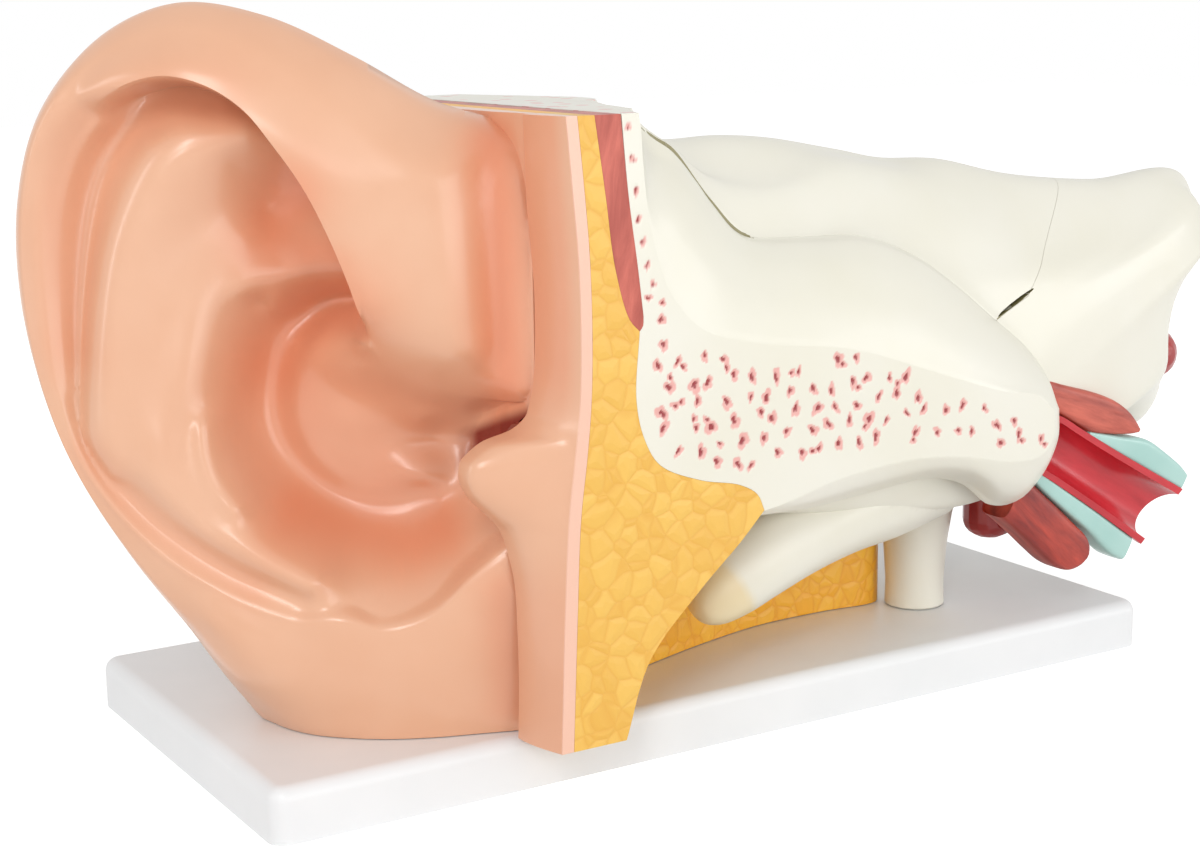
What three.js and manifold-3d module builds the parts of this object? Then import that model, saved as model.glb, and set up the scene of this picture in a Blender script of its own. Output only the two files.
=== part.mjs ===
// Giant ear model for the classroom, three times life size, with its front section, bone cover,
// labyrinth and eardrum unit made to lift off.
// Millimetres. +X runs from the auricle to the tip of the petrous bone, +Y to the back, +Z up.
// The origin is the centre of the base's underside.

import * as THREE from "three";
import { mergeGeometries, mergeVertices } from "three/addons/utils/BufferGeometryUtils.js";
import Module from "manifold-3d";

const wasm = await Module();
wasm.setup();

// Driving dimensions
const clearance = 0.3;
const baseLength = 300;
const baseWidth = 132.8;
const baseHeight = 15;
const baseCornerRadius = 5;
const baseEdgeRadius = 4;

const screwShankRadius = 1.9;
const screwHeadRadius = 4;
const screwHeadHeight = 2.5;
const screwSeatDepth = 4;
const screwGrip = 12;

const seamY = -66;
const seamMidY = seamY - clearance / 2;
const frontY = -84.4;
const backY = 40;
const cutTopZ = 179.4;
const skinInnerX = -69.6;
const headSkinX = -75;

const canalRadius = 9.5;
const canalLiningWall = 1.5;
const canalMouthX = -80;
const canalMouthZ = 88;
const canalEndX = -9;
const canalEndZ = 97;

const drumRadius = 14;
const drumX = -6;

const tympanumRadiusX = 17;
const tympanumRadiusZ = 20;
const tympanumDepthFront = 14;
const tympanumDepthBack = 23;
const tympanumX = 12;
const tympanumZ = 103;

const pocketLeftX = 29;
const pocketRightX = 91;
const pocketFrontY = -58;
const pocketBackY = -16;
const pocketFloorZ = 92;
const pocketRoofZ = 131.5;
const pocketCorner = 8;

const coverFloorZ = 112;
const coverTopZ = 200;
const coverLeftX = -22;
const coverLeftTopX = -35.5;
const coverRightX = 86;
const coverKneeX = 101;
const coverKneeZ = 117.5;
const coverRightTopX = 179;

const postX = 88;
const postY = -28;
const postRadius = 9.2;
const postTopRadius = 12.6;
const postTopZ = 52;

const pinRadius = 2;
const slabPinLength = 15;
const coverPinLength = 16;
const labyrinthPinLength = 16;

const tubeStart = [105.5, seamY, 73.5];
const tubeAngle = -31.3;
const tubeLength = 62;
const tubeRadius = 9.4;
const tubeEndRadius = 11.6;
const tubeWall = 1.8;

const roundSides = 24;
const smallSides = 12;

const colours = {
  skin: 0xf0a888,
  fat: 0xf5b94a,
  muscle: 0xb0504a,
  bone: 0xf6f3e6,
  base: 0xe4e5e5,
  steel: 0xb8bcc0,
  drum: 0xe9c9a8,
  mucosa: 0xcf2a3c,
  cartilage: 0x8fd8d4,
  artery: 0xc23a38,
  nerve: 0xf2cf4a,
  labyrinth: 0xe6d9b8,
};

// Helpers for solids

function solidOf(geometry) {
  const bare = geometry.clone();
  bare.deleteAttribute("normal");
  bare.deleteAttribute("uv");
  const merged = mergeVertices(bare, 1e-4);
  return new wasm.Manifold(
    new wasm.Mesh({
      numProp: 3,
      vertProperties: new Float32Array(merged.attributes.position.array),
      triVerts: new Uint32Array(merged.index.array),
    }),
  );
}

function geometryOf(solid) {
  const mesh = solid.getMesh();
  const geometry = new THREE.BufferGeometry();
  const count = mesh.vertProperties.length / mesh.numProp;
  const positions = new Float32Array(count * 3);
  for (let i = 0; i < count; i += 1) {
    for (let k = 0; k < 3; k += 1) {
      positions[3 * i + k] = mesh.vertProperties[mesh.numProp * i + k];
    }
  }
  geometry.setAttribute("position", new THREE.BufferAttribute(positions, 3));
  geometry.setIndex(new THREE.BufferAttribute(new Uint32Array(mesh.triVerts), 1));
  return geometry;
}

function unite(solids) {
  return solids.reduce((whole, next) => whole.add(next));
}

// The largest piece of a solid that its neighbours cut apart.
function mainPiece(solid) {
  return solid.decompose().reduce((best, next) => (next.volume() > best.volume() ? next : best));
}

// Closed loft through rings of equal length; every ring runs the same way round.
function loft(rings) {
  const positions = [];
  const index = [];
  const count = rings[0].length;
  rings.forEach((ring) => ring.forEach((p) => positions.push(p.x, p.y, p.z)));
  for (let r = 0; r + 1 < rings.length; r += 1) {
    for (let i = 0; i < count; i += 1) {
      const a = r * count + i;
      const b = r * count + ((i + 1) % count);
      index.push(a, b, b + count, a, b + count, a + count);
    }
  }
  capRing(rings[0], 0, index, true);
  capRing(rings[rings.length - 1], (rings.length - 1) * count, index, false);
  return outward(positions, index);
}

function capRing(ring, first, index, reversed) {
  const normal = new THREE.Vector3();
  ring.forEach((p, i) => normal.add(p.clone().cross(ring[(i + 1) % ring.length])));
  const axisX = Math.abs(normal.z) > Math.abs(normal.x)
    ? new THREE.Vector3(1, 0, 0)
    : new THREE.Vector3(0, 0, 1);
  const across = axisX.clone().addScaledVector(normal, -axisX.dot(normal) / normal.lengthSq());
  across.normalize();
  const up = normal.clone().normalize().cross(across);
  const flat = ring.map((p) => new THREE.Vector2(p.dot(across), p.dot(up)));
  THREE.ShapeUtils.triangulateShape(flat, []).forEach(([a, b, c]) => {
    if (reversed) index.push(first + a, first + c, first + b);
    else index.push(first + a, first + b, first + c);
  });
}

// Turns a closed mesh's faces to point outward, judged by the sign of its volume.
function outward(positions, index) {
  let volume = 0;
  const point = (i) => new THREE.Vector3(positions[3 * i], positions[3 * i + 1], positions[3 * i + 2]);
  for (let i = 0; i < index.length; i += 3) {
    volume += point(index[i]).dot(point(index[i + 1]).cross(point(index[i + 2])));
  }
  if (volume < 0) {
    for (let i = 0; i < index.length; i += 3) {
      [index[i + 1], index[i + 2]] = [index[i + 2], index[i + 1]];
    }
  }
  const geometry = new THREE.BufferGeometry();
  geometry.setAttribute("position", new THREE.Float32BufferAttribute(positions, 3));
  geometry.setIndex(index);
  return geometry;
}

// A solid whose outline lies in the XZ plane, between two values of Y.
function slabOf(outline, fromY, toY) {
  const ringAt = (y) => outline.map(([x, z]) => new THREE.Vector3(x, y, z));
  return solidOf(loft([ringAt(fromY), ringAt(toY)]));
}

// A solid whose outline lies in the XY plane, between two heights.
function blockOf(outline, fromZ, toZ) {
  const ringAt = (z) => outline.map(([x, y]) => new THREE.Vector3(x, y, z));
  return solidOf(loft([ringAt(fromZ), ringAt(toZ)]));
}

function boxOf(low, high) {
  const size = high.map((value, i) => value - low[i]);
  const geometry = new THREE.BoxGeometry(...size);
  geometry.translate(...low.map((value, i) => value + size[i] / 2));
  return solidOf(geometry);
}

// A round bar between two points.
function barOf(from, to, radius, endRadius = radius, sides = smallSides) {
  const start = new THREE.Vector3(...from);
  const end = new THREE.Vector3(...to);
  const along = end.clone().sub(start);
  const geometry = new THREE.CylinderGeometry(endRadius, radius, along.length(), sides);
  geometry.translate(0, along.length() / 2, 0);
  const turn = new THREE.Quaternion().setFromUnitVectors(
    new THREE.Vector3(0, 1, 0),
    along.normalize(),
  );
  geometry.applyQuaternion(turn);
  geometry.translate(...from);
  return solidOf(geometry);
}

function ellipsoidOf(centre, radii, sides = roundSides) {
  const geometry = new THREE.SphereGeometry(1, sides, Math.round(sides / 2));
  geometry.scale(...radii);
  geometry.translate(...centre);
  return solidOf(geometry);
}

function tubeOf(points, radius, steps, sides = smallSides) {
  const curve = new THREE.CatmullRomCurve3(points.map((p) => new THREE.Vector3(...p)));
  const circle = new THREE.Shape();
  circle.absarc(0, 0, radius, 0, 2 * Math.PI);
  const geometry = new THREE.ExtrudeGeometry(circle, {
    steps,
    curveSegments: Math.round(sides / 2),
    bevelEnabled: false,
    extrudePath: curve,
  });
  return solidOf(geometry);
}

// The solid made thicker by a small amount all over, for cutting its neighbours with a clearance.
function grown(solid, by = clearance) {
  const geometry = geometryOf(solid);
  geometry.computeVertexNormals();
  const { position, normal } = geometry.attributes;
  for (let i = 0; i < position.count; i += 1) {
    position.setXYZ(
      i,
      position.getX(i) + by * normal.getX(i),
      position.getY(i) + by * normal.getY(i),
      position.getZ(i) + by * normal.getZ(i),
    );
  }
  return solidOf(geometry);
}

function smoothLine(points, count) {
  const curve = new THREE.CatmullRomCurve3(
    points.map(([a, b]) => new THREE.Vector3(a, b, 0)),
    false,
    "centripetal",
  );
  return curve.getSpacedPoints(count - 1).map((p) => [p.x, p.y]);
}

function smoothStep(from, to, value) {
  const t = Math.min(1, Math.max(0, (value - from) / (to - from)));
  return t * t * (3 - 2 * t);
}

// A smooth height over the plane that passes through given points, or near them where it is softened
// (thin plate spline).
function heightThrough(points, softness = 0) {
  const count = points.length;
  const size = count + 3;
  const bend = (r2) => (r2 > 0 ? 0.5 * r2 * Math.log(r2) : 0);
  const distance2 = (p, q) => (p[0] - q[0]) ** 2 + (p[1] - q[1]) ** 2;
  const rows = Array.from({ length: size }, () => new Float64Array(size + 1));
  points.forEach((p, i) => {
    points.forEach((q, j) => {
      rows[i][j] = bend(distance2(p, q)) + (i === j ? softness : 0);
    });
    [1, p[0], p[1]].forEach((value, k) => {
      rows[i][count + k] = value;
      rows[count + k][i] = value;
    });
    rows[i][size] = p[2];
  });
  for (let column = 0; column < size; column += 1) {
    let pivot = column;
    for (let r = column + 1; r < size; r += 1) {
      if (Math.abs(rows[r][column]) > Math.abs(rows[pivot][column])) pivot = r;
    }
    [rows[column], rows[pivot]] = [rows[pivot], rows[column]];
    for (let r = 0; r < size; r += 1) {
      const factor = r === column ? 0 : rows[r][column] / rows[column][column];
      for (let c = column; factor !== 0 && c <= size; c += 1) {
        rows[r][c] -= factor * rows[column][c];
      }
    }
  }
  const weight = rows.map((row, i) => row[size] / row[i]);
  return (u, v) => {
    let height = weight[count] + weight[count + 1] * u + weight[count + 2] * v;
    points.forEach((p, i) => {
      height += weight[i] * bend(distance2(p, [u, v]));
    });
    return height;
  };
}

// Base: a thick moulded board with sunk screws underneath

function roundedRectangle(halfX, halfY, radius, z, stepsPerCorner = 4) {
  const ring = [];
  const corners = [[1, 1, 0], [-1, 1, 90], [-1, -1, 180], [1, -1, 270]];
  corners.forEach(([sx, sy, startAngle]) => {
    for (let i = 0; i <= stepsPerCorner; i += 1) {
      const angle = THREE.MathUtils.degToRad(startAngle + (90 * i) / stepsPerCorner);
      ring.push(
        new THREE.Vector3(
          sx * (halfX - radius) + radius * Math.cos(angle),
          sy * (halfY - radius) + radius * Math.sin(angle),
          z,
        ),
      );
    }
  });
  return ring;
}

const screwPlaces = [[-91.9, -15.8], [-55.1, 15.8], [18.4, 12], [postX, postY]];

function makeBase() {
  const rings = [roundedRectangle(baseLength / 2, baseWidth / 2, baseCornerRadius, 0)];
  for (const angle of [0, 22.5, 45, 67.5, 90]) {
    const turn = THREE.MathUtils.degToRad(angle);
    const inset = baseEdgeRadius * (1 - Math.cos(turn));
    rings.push(
      roundedRectangle(
        baseLength / 2 - inset,
        baseWidth / 2 - inset,
        baseCornerRadius - inset,
        baseHeight - baseEdgeRadius + baseEdgeRadius * Math.sin(turn),
      ),
    );
  }
  let board = solidOf(loft(rings));
  screwPlaces.forEach(([x, y]) => {
    board = board.subtract(barOf([x, y, -1], [x, y, screwSeatDepth], screwHeadRadius + clearance));
    board = board.subtract(barOf([x, y, 0], [x, y, baseHeight + 1], screwShankRadius + clearance));
  });
  return board;
}

function screwAt([x, y]) {
  const seat = screwSeatDepth - clearance;
  return barOf([x, y, seat - screwHeadHeight], [x, y, seat], screwHeadRadius).add(
    barOf([x, y, seat - 1], [x, y, baseHeight + screwGrip], screwShankRadius, 1.2),
  );
}

function screwHoles(reach = screwGrip) {
  return unite(
    screwPlaces.map(([x, y]) =>
      barOf([x, y, baseHeight - 1], [x, y, baseHeight + reach + 1], screwShankRadius + clearance),
    ),
  );
}

const footZ = baseHeight + clearance;

// Temporal bone: a loft of cross sections from the front cut face to the back cut face.
// Each section has its upper edge from the outer plate to the inner tip, then its lower edge back.

const plateX = -78;
const overTopZ = cutTopZ + 8;
const lowerBoneZ = 72;

const sections = [
  {
    y: frontY,
    upper: [[-54, overTopZ], [-51, 178], [-50.2, 168], [-48, 150], [-42.8, 134], [-32.9, 123],
      [-13.7, 117], [16.5, 112.5], [52.5, 101], [71.5, 95], [86, 92], [92.3, 87]],
    lower: [[92.6, 79], [88, 74], [77, 73.5], [60, 77], [40, 79], [14, 77], [-12.3, 71.5], [-40, lowerBoneZ]],
  },
  {
    y: seamY,
    upper: [[-46, overTopZ], [-40, 176], [-35, 172], [-29.1, 168.5], [-17, 154], [-6.5, 144.5],
      [13.1, 142.2], [34.2, 141], [52.5, 134.8], [69, 124.8], [84, 113.5], [96, 104], [103, 95], [105.3, 85]],
    lower: [[105, 74], [102, 62.5], [95, 55.8], [85, 56.2], [74, 64], [60, 67.6], [38, 66.5], [15, 65],
      [-10, 67], [-40, lowerBoneZ - 2]],
  },
  {
    y: -58,
    upper: [[-43, overTopZ], [-37, 177], [-28, 171], [-12, 160], [5, 156], [30, 156.5], [55, 151],
      [80, 142], [108, 129], [140, 127], [165, 129], [173, 118]],
    lower: [[162, 106], [158, 92], [156, 80], [140, 75], [122, 79], [106, 76], [90, 57], [-40, lowerBoneZ - 2]],
  },
  {
    y: -44,
    upper: [[-40, overTopZ], [-33, 178], [-20, 172], [0, 168.5], [22, 166.3], [45, 162], [62, 159],
      [82, 157.5], [112, 150.5], [145, 147], [184, 147], [194, 130]],
    lower: [[190, 118], [180, 107], [178.5, 94], [180, 78], [170, 68], [142, 70], [100, 56], [-40, lowerBoneZ - 4]],
  },
  {
    y: -28,
    upper: [[-34, overTopZ], [-27, 178], [-12, 170], [10, 167.5], [28, 165.5], [50, 162], [64, 158.5],
      [84, 156.5], [114, 150], [150, 144.5], [194, 144], [206, 128]],
    lower: [[202, 114], [193, 103], [190, 92], [190, 78], [178, 66], [140, 60], [100, 46], [-40, lowerBoneZ - 4]],
  },
  {
    y: -10,
    upper: [[-26, overTopZ], [-19, 178], [-6, 168], [15, 162], [40, 156], [62, 150], [82, 146],
      [106, 140], [132, 133], [156, 129], [182, 126], [196, 110]],
    lower: [[188, 94], [174, 80], [150, 70], [125, 64], [100, 58], [80, 55], [40, 56], [-40, lowerBoneZ - 4]],
  },
  {
    y: 8,
    upper: [[-28, overTopZ], [-22, 176], [-14, 160], [8, 146], [36, 136], [60, 128], [80, 122],
      [98, 117], [114, 112], [128, 107], [140, 102], [148, 95]],
    lower: [[140, 85], [124, 77], [108, 72], [90, 69], [70, 66], [45, 65], [10, 64], [-40, lowerBoneZ - 4]],
  },
  {
    y: 24,
    upper: [[-33, overTopZ], [-29, 174], [-26, 156], [-16, 138], [-2, 127], [12, 120], [24, 114],
      [34, 109], [42, 105], [49, 101], [54, 97], [57, 91]],
    lower: [[52, 84], [44, 79], [34, 75], [22, 72], [8, 70], [-8, 69], [-24, 69], [-45, lowerBoneZ - 2]],
  },
  {
    y: backY,
    upper: [[-38, overTopZ], [-36, 172], [-34, 154], [-30, 138], [-26, 126], [-22, 117], [-18, 110],
      [-15, 105], [-13, 101], [-12, 97], [-12, 93], [-13, 89]],
    lower: [[-16, 85], [-20, 82], [-25, 79], [-31, 77], [-37, 75], [-43, 74], [-49, 73], [-56, lowerBoneZ]],
  },
];

const upperCount = 25;
const lowerCount = 17;

function sectionRing({ y, upper, lower }) {
  const tip = upper[upper.length - 1];
  const top = smoothLine([[plateX, overTopZ], ...upper], upperCount);
  const bottom = smoothLine([tip, ...lower, [plateX, lowerBoneZ]], lowerCount).slice(1);
  return [...top, ...bottom].map(([x, z]) => new THREE.Vector3(x, y, z));
}

// The shoulder between the front cut face and the seam is rounded by sections blended from the two.
function blendRing(ringA, ringB, share, y) {
  return ringA.map((p, i) => {
    const mixed = p.clone().lerp(ringB[i], share);
    mixed.y = y;
    return mixed;
  });
}

function makeWholeBone() {
  const rings = sections.map(sectionRing);
  const depth = seamY - frontY;
  const shoulder = [[0.16, 0.38], [0.45, 0.72], [0.75, 0.92]].map(([along, share]) =>
    blendRing(rings[0], rings[1], share, frontY + along * depth),
  );
  return solidOf(loft([rings[0], ...shoulder, ...rings.slice(1)]));
}

// Edge lines of the tissues on the cut faces, in X and Z

const muscleOutside = [[-64.2, cutTopZ], [-61.2, 159], [-58.7, 141], [-54.6, 127.5], [-51.6, 124.2]];
const muscleInside = [[-50.4, 128], [-52, 141], [-54.5, 159], [-56.6, cutTopZ]];
const boneEdge = [[-56.6, cutTopZ], [-54.5, 159], [-52, 141], [-50.4, 128], [-51.6, 124.2],
  [-52.8, 106.4], [-50.5, 96], [-45.7, 88.4], [-33.1, 82.7], [-20.2, 79.6], [-12.3, 71.6]];
const fatSlope = [[-12.3, 71.6], [-20, 64], [-33.3, 52.6], [-49.3, 36], [-57, footZ]];

// Moves a closed outline inward by a distance.
function shrunk(outline, by) {
  const area = outline.reduce((sum, [x, z], i) => {
    const [nx, nz] = outline[(i + 1) % outline.length];
    return sum + x * nz - nx * z;
  }, 0);
  const side = Math.sign(area);
  return outline.map(([x, z], i) => {
    const before = outline[(i + outline.length - 1) % outline.length];
    const after = outline[(i + 1) % outline.length];
    const inDir = new THREE.Vector2(x - before[0], z - before[1]).normalize();
    const outDir = new THREE.Vector2(after[0] - x, after[1] - z).normalize();
    const normal = new THREE.Vector2(-inDir.y - outDir.y, inDir.x + outDir.x).normalize();
    const spread = Math.max(0.5, normal.dot(new THREE.Vector2(-inDir.y, inDir.x)));
    return [x + (side * normal.x * by) / spread, z + (side * normal.y * by) / spread];
  });
}

const boneOutline = [...boneEdge, [-12.3, -40], [260, -40], [260, 260], [-56.6, 260]];
const muscleOutline = [...muscleOutside, ...muscleInside];

// The inner face of the front section's skin, in Z and X
const skinInnerLine = [[footZ, -73.2], [51, -71.4], [77, -69.9], [94, -67.6], [108, -66.2], [125, -65.7],
  [144, -66.1], [160, -67.3], [cutTopZ, -69.2]];
const fatOutline = [
  ...muscleOutside.slice(0, 4),
  ...boneEdge.slice(4),
  ...fatSlope.slice(1),
  ...skinInnerLine.map(([z, x]) => [x, z]),
];

// Auricle: its relief stands on a plane that faces the viewer's side of the head.
// u runs along the plane towards the seam, v is the height and w stands out of the plane.

const faceYaw = THREE.MathUtils.degToRad(30);

function fromFace(u, v, w) {
  const x = Math.cos(faceYaw) * u - Math.sin(faceYaw) * w;
  const y = -Math.sin(faceYaw) * u - Math.cos(faceYaw) * w;
  return new THREE.Vector3(x, y, v);
}

const auricleRim = [
  [-20, 170], [-37, 177], [-54, 182.5], [-74, 194], [-96, 204.5], [-118, 208], [-138, 200], [-154, 182],
  [-162, 158], [-163, 135], [-159, 112], [-150, 87], [-137, 63], [-123.5, 42], [-112, 23.5], [-105.5, 14],
  [-97, 6], [-80, 2], [-20, 2], [-14, 60], [-12, 120],
];
const rimDepth = [
  [-37, 177, 80], [-96, 204, 84], [-138, 200, 83], [-163, 150, 80], [-159, 112, 80], [-137, 63, 80],
  [-123.5, 42, 79], [-112, 23.5, 79], [-105.5, 14, 77], [-60, 2, 60], [-14, 60, 60], [-12, 120, 60],
];

const helixEdge = [
  [-95, 50], [-108, 55], [-124, 64], [-138.5, 78], [-147.5, 92], [-151.5, 106], [-153, 122], [-152.5, 140],
  [-150.5, 156], [-146, 170], [-138, 181], [-129, 186.5], [-119, 188.5], [-109, 186], [-100, 180],
  [-93, 171], [-86, 160], [-80.5, 148], [-76.5, 137], [-73.5, 127], [-69, 117], [-62, 110], [-52, 106],
  [-40, 104], [-20, 104], [-20, 74], [-36, 70], [-48, 61], [-58, 51.5], [-70, 47.5], [-80, 51],
];
const helixEdgeSoftness = 4;

// Lines on the relief: each has its points as u, v and height. The outer roll and the bowl inside it have
// lines of their own, and share lines where the roll has no overhang, so that they meet on one slope.
const sharedLines = [
  [[-141, 181.5, 89], [-147.5, 172.5, 88.5], [-151.5, 160, 88.5], [-153.5, 145, 89], [-153.8, 128, 89.5],
    [-152.5, 110, 90.5], [-148, 93.5, 92], [-139, 79, 93.5], [-124.5, 65, 95.5], [-109, 56, 97],
    [-96, 51, 98.5]],
  [[-143.5, 184, 91.2], [-150, 174.5, 90.5], [-154, 161, 90], [-155.8, 145, 90], [-156, 128, 90.2],
    [-154.5, 110, 91.2]],
  [[-138, 178.5, 86.3], [-144.5, 170, 86], [-149, 158.5, 86.8], [-151, 145, 87.3], [-151.4, 128, 88],
    [-150.3, 110, 89.3]],
  [[-74.5, 121, 91], [-69, 113, 86.5], [-61, 108, 84], [-51, 105, 83], [-42, 104, 83.5]],
  [[-71, 123.5, 95.5], [-66, 117, 92], [-59, 112.5, 89.5], [-50, 109.5, 88.5], [-42, 108.5, 88]],
  [[-75, 114, 83.5], [-70, 108, 80], [-62, 103.5, 78], [-52, 101, 76.5], [-44, 100.5, 76.5]],
];

const outerLines = [
  [[-50, 170, 98.5], [-62, 177, 98], [-76, 187, 96], [-92, 195, 95], [-106, 199.5, 94], [-120, 200, 93],
    [-134, 195, 92], [-146.5, 182.5, 91.5], [-154.5, 166, 90.5], [-158.5, 149, 89.5], [-158.8, 130, 89.5],
    [-155.5, 110, 90.5], [-147, 89, 92], [-132.5, 65, 93.5], [-118.5, 44, 93]],
  [[-142, 185.3, 92.5], [-136, 188.5, 94.8], [-128, 191, 97], [-119, 192, 98.8], [-109.5, 189.5, 100],
    [-100.5, 183.8, 101], [-92.5, 175.3, 101.8], [-85, 163.3, 102], [-79, 151.3, 102], [-75, 140, 102],
    [-72, 131, 101.3]],
  [[-60, 165, 101.5], [-60, 150, 101.5], [-59, 137, 101], [-56.5, 126, 99.5], [-52, 117, 96]],
  [[-68, 128, 99.5], [-62, 121, 96.5], [-54, 116.5, 95], [-46, 114.5, 93]],
  [[-47.5, 168, 98.5], [-46.5, 150, 98.5], [-45.5, 132, 97.8], [-44.5, 120, 96]],
  [[-41, 168, 94], [-40.5, 150, 93.5], [-40, 130, 92.5], [-39.5, 114, 90.5]],
  [[-35.5, 170, 94], [-34.5, 150, 93], [-34, 130, 92.5], [-34, 108, 92]],
  [[-86, 56, 99.5], [-79, 50, 100.5], [-70, 46.5, 100], [-60, 48.5, 99.5], [-51, 56, 99],
    [-42, 64.5, 97.5], [-34, 68, 96.5]],
  [[-116, 49, 97], [-106, 43, 99.5], [-92, 39, 100], [-78, 37, 100.3], [-62, 37, 100], [-49, 40, 98.5],
    [-41, 48, 96]],
  [[-108, 33, 95.5], [-98, 29, 97.5], [-84, 27, 98.8], [-70, 26, 98.8], [-57, 26, 98], [-47, 28, 96],
    [-39, 31, 94]],
  [[-106.8, 15, 79.5], [-101, 15, 85.5], [-94, 15, 90.5], [-86, 15, 94], [-72, 15, 96.5], [-58, 15, 96],
    [-47, 15, 94], [-36, 15, 92]],
  [[-20, 170, 90], [-20, 140, 90], [-20, 104, 90], [-20, 60, 92], [-20, 30, 92]],
];

const innerLines = [
  [[-100, 181, 80], [-109, 185, 80], [-119.5, 185, 80], [-130, 181, 80], [-138, 173.5, 81],
    [-143.5, 164, 82.3], [-146, 152, 83.3], [-147.3, 140, 84.3], [-148.3, 126, 85.5], [-149, 113, 87],
    [-148.3, 101, 88.5], [-143.5, 88.5, 90.3], [-134, 78, 92], [-122, 69.5, 93.3], [-109, 61.5, 94.8],
    [-99, 57, 95.8], [-91, 53.5, 97.2]],
  [[-111, 181.5, 83], [-121, 180.5, 84], [-128.5, 175.2, 84.3], [-134.8, 167.5, 84.3],
    [-139.3, 158, 84.3], [-142.3, 148.5, 84.5], [-144.6, 138, 84.8], [-146.3, 127, 85.4],
    [-147.6, 115, 86.4], [-148.2, 104, 87.8]],
  [[-108, 179, 86.5], [-118, 178.6, 87.5], [-126.3, 173.9, 88], [-132.6, 166.2, 88], [-137.1, 157.2, 88],
    [-140.3, 148, 88.3], [-142.7, 138, 88.6], [-144.4, 127, 89.2], [-145.7, 115, 90], [-146.3, 104, 91],
    [-145.8, 96.5, 92], [-140, 88, 93]],
  [[-116, 174.5, 87.8], [-123.5, 168.5, 88.3], [-129.3, 160.3, 88.5], [-133.8, 151, 89],
    [-137.3, 140, 89.4], [-139.8, 128, 90.2], [-141.8, 114, 91.4]],
  [[-101, 176.5, 88], [-108, 174, 90.5], [-114.5, 169.5, 91.8], [-120.5, 162.5, 92.3],
    [-126, 153.5, 92.7], [-130.3, 144, 93.2], [-133.3, 133, 93.8], [-135.6, 121, 94.3], [-137, 110, 94.8],
    [-136, 99, 95.5], [-131, 88.5, 96.3], [-122.5, 79, 97.2], [-112, 70, 98], [-102, 63.5, 98.8],
    [-92, 58.5, 99.5]],
  [[-105, 167, 86], [-111.5, 159, 88], [-116.5, 150, 89], [-119.5, 141, 90], [-122, 130, 91.5],
    [-125, 118, 93], [-127, 107, 94.5], [-125, 97, 96]],
  [[-107, 139, 86.5], [-111.5, 130, 88], [-114.5, 119, 90], [-117, 108, 92], [-118.5, 98, 94.2],
    [-116.5, 88, 96], [-111, 78, 97], [-103, 70.5, 97.8], [-94, 64.5, 98.3], [-87, 60.5, 98.8]],
  [[-102, 130.5, 77], [-105.5, 122, 77], [-108, 112, 77.5], [-110, 102, 78.5], [-109, 92, 80],
    [-104.5, 83, 81], [-97, 75.5, 82.5], [-87.5, 69, 83.5], [-78, 62.5, 84], [-67, 59.5, 84.5],
    [-57, 63, 84], [-47, 70, 83]],
  [[-97, 124, 67.5], [-101, 115, 66.5], [-103.5, 106, 66], [-103.5, 96, 66], [-100.5, 87, 66.5],
    [-94.5, 79.5, 67], [-86, 73.5, 67.5], [-76, 70, 68], [-66, 70, 68.5], [-56, 74, 69]],
  [[-88, 167, 78], [-95, 161, 76.5], [-99, 154, 77.5]],
  [[-84, 157, 74], [-90, 155, 75], [-97, 150.5, 78], [-104, 148, 84]],
  [[-82, 150.5, 77], [-89, 148.8, 78.6], [-97, 145, 81], [-105, 142, 85.5]],
  [[-79, 144.5, 75.5], [-87, 144.5, 77], [-95, 142.2, 80]],
  [[-76, 138, 80], [-84, 139.7, 81.2], [-92, 139.3, 82.5], [-99, 137.2, 84], [-105, 134.5, 85.5]],
  [[-74, 133.5, 71], [-84, 134.5, 70.5], [-92, 133, 72], [-98, 130, 76]],
  [[-76, 129, 68], [-83, 129, 66], [-89, 126, 65.5], [-94.5, 121, 66.8]],
  [[-76, 124, 80], [-82, 122.5, 76], [-87, 119.5, 74], [-92, 115.5, 72.5], [-96, 110.5, 71.3],
    [-98, 104.5, 70.8], [-98, 98, 70.5], [-96.3, 91.5, 70.3], [-92.5, 85.8, 70.2], [-87, 81.3, 70.2]],
  [[-79, 77.5, 70.5], [-70, 76, 71.5], [-61, 77, 72]],
  [[-91.5, 111, 70], [-86, 106.5, 69.6], [-80, 103, 70.5]],
  [[-76, 116, 83], [-82, 113, 76], [-86, 110.5, 72]],
  [[-91, 101, 68.6], [-89.5, 94, 68.4], [-84.5, 88.5, 68.8], [-78, 85, 69.8]],
  [[-82, 97.5, 69], [-75, 95, 70.5], [-66, 93.5, 70], [-57, 91.5, 67]],
  [[-66, 83, 71.8], [-60, 81, 72.2], [-54, 80, 71]],
  [[-60, 98, 73.5], [-52, 96, 70.5], [-45, 96, 72]],
  [[-47, 90, 68], [-41, 90, 76], [-46, 82, 72], [-40, 80, 80], [-34, 84, 86], [-22, 90, 92]],
];

const backFace = [
  [-118, 15, 52], [-105, 15, 28], [-90, 15, 8], [-60, 15, 0], [-122, 45, 64], [-105, 45, 45],
  [-90, 45, 22], [-60, 45, 0], [-145, 75, 79], [-122, 75, 68], [-100, 75, 48], [-85, 75, 30], [-60, 75, 5],
  [-156, 100, 78], [-132, 100, 70], [-110, 100, 52], [-90, 100, 42], [-75, 100, 36], [-60, 100, 20],
  [-160, 130, 77], [-140, 130, 70], [-115, 130, 60], [-95, 130, 48], [-80, 130, 40], [-60, 130, 20],
  [-160, 160, 79], [-140, 160, 71], [-115, 160, 66], [-95, 160, 56], [-78, 160, 48], [-60, 160, 30],
  [-148, 185, 81], [-120, 190, 78], [-100, 190, 79], [-80, 182, 74], [-60, 174, 58], [-42, 168, 40],
  [-118, 203, 84], [-96, 200, 84], [-15, 100, 0], [-15, 15, 0],
];

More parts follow.
